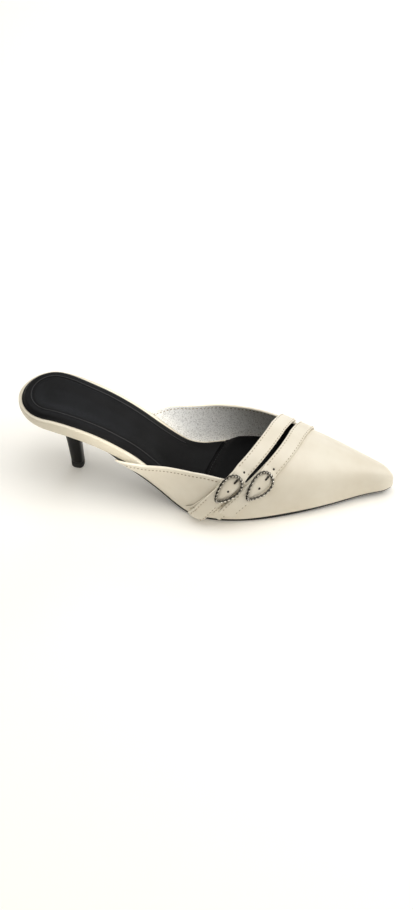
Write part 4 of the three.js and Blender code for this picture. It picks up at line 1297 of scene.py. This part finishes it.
def strap_relief(path, at, aside, width, with_buckle):
    """The strap's outer face against its plain thickness: rounded edges, stitch lines, dome and holes."""
    from_edge = width / 2 - np.abs(aside)
    rounding = -STRAP_EDGE_DROP * (1 - smoothstep(from_edge, 0, STRAP_EDGE_ROUND))
    relief = rounding - STITCH_GROOVE_DEPTH * hump(from_edge - EDGE_STITCH_INSET, STITCH_GROOVE_WIDTH)
    if not with_buckle:
        return relief
    ahead = (path.buckle_at - at) * path.length
    inside = np.clip(ring_half_width(ahead) - BUCKLE_WIRE / 2, 0.01, None)
    reach = (BUCKLE_LENGTH - 2 * BUCKLE_WIRE) / 2
    swell = np.clip(1 - (aside / inside) ** 2, 0, 1) * np.clip(1 - (ahead / reach) ** 2, 0, 1) ** 0.5
    relief = relief * (1 - smoothstep(swell, 0.0, 0.25)) + DOME_HEIGHT * swell**0.7
    for hole_ahead in (path.hole_ahead, HOLE_BEHIND):
        distance = np.hypot(ahead - hole_ahead, aside - HOLE_ASIDE)
        sunk = HOLE_DEPTH * (1 - smoothstep(distance, 0.3, HOLE_RADIUS + 0.35))
        relief = relief - sunk + HOLE_LIP_HEIGHT * hump(distance - HOLE_LIP_RADIUS, HOLE_LIP_WIDTH)
    return relief


def make_strip(name, node, path, steps, columns, width, lift_at, thickness, slant, with_buckle):
    """A strip of leather on the form. Returns a function that finds points on its face."""
    side_round = STRAP_RIM_BULGE * thickness / 2
    share = np.linspace(0, 1, steps + 1)[:, None]
    across = np.linspace(-1, 1, columns + 1)[None]
    at = share + (slant / path.length) * (-across / 2 - 0.5) * share**6
    aside = across * (width / 2 - side_round) + 0 * at
    along, turn = path.beside(at, aside)
    lift = lift_at(at)
    relief = strap_relief(path, at, aside, width, with_buckle)
    outer = form(along, turn, lift + thickness + relief)
    inner = form(along, turn, lift)
    points, faces, kinds = rounded_solid(outer, inner, grid_quads(steps, columns), bulge=STRAP_RIM_BULGE)
    # Each rim's upper half is painted lighter as a highlight, its lower half darker and warmer as painted
    # shade along the strap's edge.
    looks = [CREAM_STRAP, CREAM_STRAP, CREAM_RIM_HIGHLIGHT, CREAM_RIM_SHADE]
    solid_piece(name, points, faces, looks, "cream_leather", node, kinds=kinds)

    def face(at, aside, above=0.0):
        a, t = path.beside(at, aside)
        height = lift_at(at) + thickness + strap_relief(path, at, aside, width, with_buckle) + above
        return form(a, t, height), form_normal(a, t, height)

    return face


def edge_rows(face, start, ends, width):
    """A row of stitches along each edge of a strip, with an end for each side."""
    rows = []
    for side, end in zip((-1, 1), ends):
        at = np.linspace(start, end, 240)
        aside = np.full_like(at, side * (width / 2 - EDGE_STITCH_INSET))
        rows.append(face(at, aside))
    return rows


def make_holes(name, path, face):
    """Dark discs at the bottom of the punched holes: painted shade inside them."""
    points = []
    faces = []
    sides = HOLE_SIDES
    turns = circle_turns(sides)
    for ahead in (path.hole_ahead, HOLE_BEHIND):
        at = path.buckle_at - (ahead + HOLE_RADIUS * np.cos(turns)) / path.length
        rim, _ = face(at, HOLE_ASIDE + HOLE_RADIUS * np.sin(turns), 0.07)
        _, up = face(np.array([path.buckle_at - ahead / path.length]), np.array([HOLE_ASIDE]), 0.05)
        low = rim - up * 0.3
        base = sum(len(p) for p in points)
        points.append(np.concatenate([rim, low]))
        faces.append(tuple(base + k for k in range(sides)))
        faces.append(tuple(base + sides + k for k in reversed(range(sides))))
        for k in range(sides):
            after = (k + 1) % sides
            faces.append((base + k, base + sides + k, base + sides + after, base + after))
    points = np.concatenate(points)
    solid_piece(name, points, faces, [HOLE_SHADE_LOOK], "cream_leather", smooth=False)


def over_strap(path, ahead, aside, above):
    ahead, aside, above = (np.asarray(v, dtype=float) for v in np.broadcast_arrays(ahead, aside, above))
    at = np.full_like(ahead, path.buckle_at)
    along, turn = walk(path.along(at), path.turn(at), path.direction(at), -ahead, aside)
    lift = strap_lift(path, path.buckle_at - ahead / path.length)
    return form(along, turn, lift + STRAP_THICKNESS + CLEARANCE + above)


RING_STEPS = 336
RING_SIDES = 16
RING_BEADS = 24
BEAD_DEPTH = 0.3
BEAD_SLANT = 1.2
SHADED_GAP_SHARE = -0.05
SHADED_SIDE_SINE = 0.6


def make_ring(name, node, path):
    turn = np.arange(RING_STEPS) / RING_STEPS
    ahead, aside = ring_outline(turn)
    radius = BUCKLE_WIRE / 2
    middle_line = over_strap(path, ahead, aside, radius)
    up = unit(over_strap(path, ahead, aside, radius + 1) - middle_line)
    side = circle_turns(RING_SIDES)
    wave = np.cos(turn[:, None] * 2 * math.pi * RING_BEADS + BEAD_SLANT * side[None])
    thick = radius * (1 - BEAD_DEPTH * (0.5 + 0.5 * wave))
    loops = tube_loops(middle_line, up, 1.0, RING_SIDES, closed=True)
    loops = middle_line[:, None] + (loops - middle_line[:, None]) * thick[..., None]
    points, faces = loft(loops, closed=True)
    # The darker silver paints shade on the wire: on its underside, its sides and the recesses between the
    # beads.
    low = (np.cos(side) < 0) | (np.abs(np.sin(side)) > SHADED_SIDE_SINE)
    dark = (wave > SHADED_GAP_SHARE) | low[None]
    kinds = dark.ravel().astype(int)
    solid_piece(name, points, faces, [SILVER, DARK_AND_SHADED_SILVER], "silver_metal", node, kinds=kinds)


PRONG_STEPS = 24
PRONG_SIDES = 16


def make_prong(name, node, path):
    start = BUCKLE_LENGTH / 2 - BUCKLE_WIRE - CLEARANCE
    share = np.linspace(0, 1, PRONG_STEPS)
    radius = PRONG_WIDTH / 2
    line = over_strap(path, start - share * PRONG_LENGTH, 0 * share, radius)
    up = unit(over_strap(path, start - share * PRONG_LENGTH, 0 * share, radius + 1) - line)
    thick = radius * np.sqrt(np.clip(1 - (2 * share - 1) ** 8, 0.05, 1)) * lerp(1, 0.8, share)
    points, faces = loft(tube_loops(line, up, thick, PRONG_SIDES, closed=False))
    solid_piece(name, points, faces, [DARK_AND_SHADED_SILVER], "silver_metal", node)


STRAP_STEPS = 260
STRAP_COLUMNS = 34
TAB_STEPS = 70
TAB_COLUMNS = 24
STRAP_STITCH_START = 0.03
STRAP_STITCH_END = 0.985
STITCH_GAP_AHEAD = 0.1
STITCH_GAP_BEHIND = 0.09
TAIL_CORNER = 0.02
TAB_STITCH_START = 0.08
TAB_STITCH_END = 0.95


def make_straps():
    rear = Path(STRAP_REAR_PATH, REAR_BUCKLE_AT, HOLE_AHEAD_REAR)
    front = Path(STRAP_FRONT_PATH, FRONT_BUCKLE_AT, HOLE_AHEAD_FRONT)
    rows = []
    for label, path, slant in (("rear", rear, TAIL_SLANT_REAR), ("front", front, TAIL_SLANT_FRONT)):
        face = make_strip(
            f"strap_{label}_leather", f"strap_{label}", path, STRAP_STEPS, STRAP_COLUMNS, STRAP_WIDTH,
            lambda at, path=path: strap_lift(path, at), STRAP_THICKNESS, slant, True,
        )
        lead_end = path.buckle_at - STITCH_GAP_AHEAD
        tail_ends = (STRAP_STITCH_END, STRAP_STITCH_END - TAIL_CORNER)
        rows += edge_rows(face, STRAP_STITCH_START, (lead_end, lead_end), STRAP_WIDTH)
        rows += edge_rows(face, path.buckle_at + STITCH_GAP_BEHIND, tail_ends, STRAP_WIDTH)
        make_holes(f"holes_{label}", path, face)
        make_ring(f"ring_{label}", f"buckle_{label}", path)
        make_prong(f"prong_{label}_pin", f"prong_{label}", path)
    for label, table in (("rear", TAB_REAR_PATH), ("front", TAB_FRONT_PATH)):
        path = Path(table)
        face = make_strip(
            f"tab_{label}_leather", f"buckle_tab_{label}", path, TAB_STEPS, TAB_COLUMNS, TAB_WIDTH,
            lambda at: CLEARANCE + 0 * at, TAB_THICKNESS, 0, False,
        )
        rows += edge_rows(face, TAB_STITCH_START, (TAB_STITCH_END, TAB_STITCH_END), TAB_WIDTH)
    stitches("strap_stitches", rows, STRAP_THREAD, "cream_leather")


# The studio

FLOOR_REACH = 3.0
FLOOR_GLOW = 0.16
WORLD_GLOW = 0.23
SPOT_SOFTNESS = 0.03


def make_floor():
    mesh = bpy.data.meshes.new("floor")
    corners = [(FLOOR_REACH * x, FLOOR_REACH * y, 0) for x, y in ((-1, -1), (1, -1), (1, 1), (-1, 1))]
    mesh.from_pydata(corners, [], [(0, 1, 2, 3)])
    look = Look("floor_paper", (0.97, 0.945, 0.89), 0.9)
    look.set("Emission Color", (1, 0.97, 0.9, 1))
    look.set("Emission Strength", FLOOR_GLOW)
    look.bump(look.noise(400, 3), 0.0001, 0.1)
    mesh.materials.append(look.material)
    link_object("floor", mesh)


def place_lamp(name, data, place_m, target_m, power, colour):
    data.energy = power
    data.color = colour
    lamp = link_object(name, data)
    lamp.location = place_m
    lamp.rotation_euler = (Vector(target_m) - Vector(place_m)).to_track_quat("-Z", "Y").to_euler()


def add_light(name, place_m, target_m, size, power, colour):
    data = bpy.data.lights.new(name, "AREA")
    data.shape = "RECTANGLE"
    data.size, data.size_y = size
    place_lamp(name, data, place_m, target_m, power, colour)


def add_spot(name, place_m, target_m, angle, power, colour):
    data = bpy.data.lights.new(name, "SPOT")
    data.spot_size = math.radians(angle)
    data.spot_blend = 1
    data.shadow_soft_size = SPOT_SOFTNESS
    place_lamp(name, data, place_m, target_m, power, colour)


def make_studio():
    world = bpy.data.worlds.new("studio")
    world.use_nodes = True
    world.node_tree.nodes["Background"].inputs["Color"].default_value = (1, 0.94, 0.83, 1)
    world.node_tree.nodes["Background"].inputs["Strength"].default_value = WORLD_GLOW
    bpy.context.scene.world = world
    middle_of_shoe = (0.09, 0.0, 0.02)
    add_light("key", (-0.3, 0.25, 1.2), middle_of_shoe, (1.3, 1.3), 6.8, (0.97, 0.985, 1))
    add_light("top", (0.45, 0.0, 1.2), middle_of_shoe, (1.6, 1.2), 7.6, (0.97, 0.985, 1))
    add_light("toe", (0.85, 0.1, 0.7), (0.17, 0, 0.02), (0.6, 0.6), 3.0, (1, 0.97, 0.91))
    add_light("front_fill", (-0.3, -1.25, 0.35), middle_of_shoe, (1.2, 0.5), 0.15, (1, 0.93, 0.8))
    add_light("back_strip", (0.22, 1.27, 0.58), middle_of_shoe, (0.9, 0.2), 3.4, (0.8, 0.88, 1))
    add_spot("lining", (0.02, -0.6, 0.58), (0.05, 0.03, 0.032), 7, 34, (1, 0.99, 0.96))
    scene = bpy.context.scene
    scene.view_settings.view_transform = "Standard"
    scene.view_settings.look = "None"


# The camera keeps the photograph's angle to the shoe, closer to it.
CAMERA_TARGET = (0.092, 0.0015, 0.020)
CAMERA_AZIMUTH = 8.0
CAMERA_ELEVATION = 43.7
CAMERA_ROLL = -0.36
CAMERA_DISTANCE = 0.9
CAMERA_LENS = 50.9
CAMERA_SENSOR = 36


def make_camera():
    azimuth, elevation = math.radians(CAMERA_AZIMUTH), math.radians(CAMERA_ELEVATION)
    level = math.cos(elevation)
    back = Vector((math.sin(azimuth) * level, -math.cos(azimuth) * level, math.sin(elevation)))
    right = Vector((math.cos(azimuth), math.sin(azimuth), 0))
    up = back.cross(right)
    roll = math.radians(CAMERA_ROLL)
    right, up = right * math.cos(roll) - up * math.sin(roll), right * math.sin(roll) + up * math.cos(roll)
    data = bpy.data.cameras.new("camera")
    data.lens = CAMERA_LENS
    data.sensor_width = CAMERA_SENSOR
    camera = link_object("camera", data)
    turned = Matrix((right, up, back)).transposed().to_4x4()
    camera.matrix_world = Matrix.Translation(Vector(CAMERA_TARGET) + back * CAMERA_DISTANCE) @ turned
    bpy.context.scene.camera = camera


make_camera()
make_floor()
make_studio()
make_outsole()
make_board()
make_heel()
make_heel_tip()
for pad in make_socks():
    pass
make_upper()
stitches("topline_stitches", topline_rows(), CREAM_THREAD, "cream_leather")
make_straps()
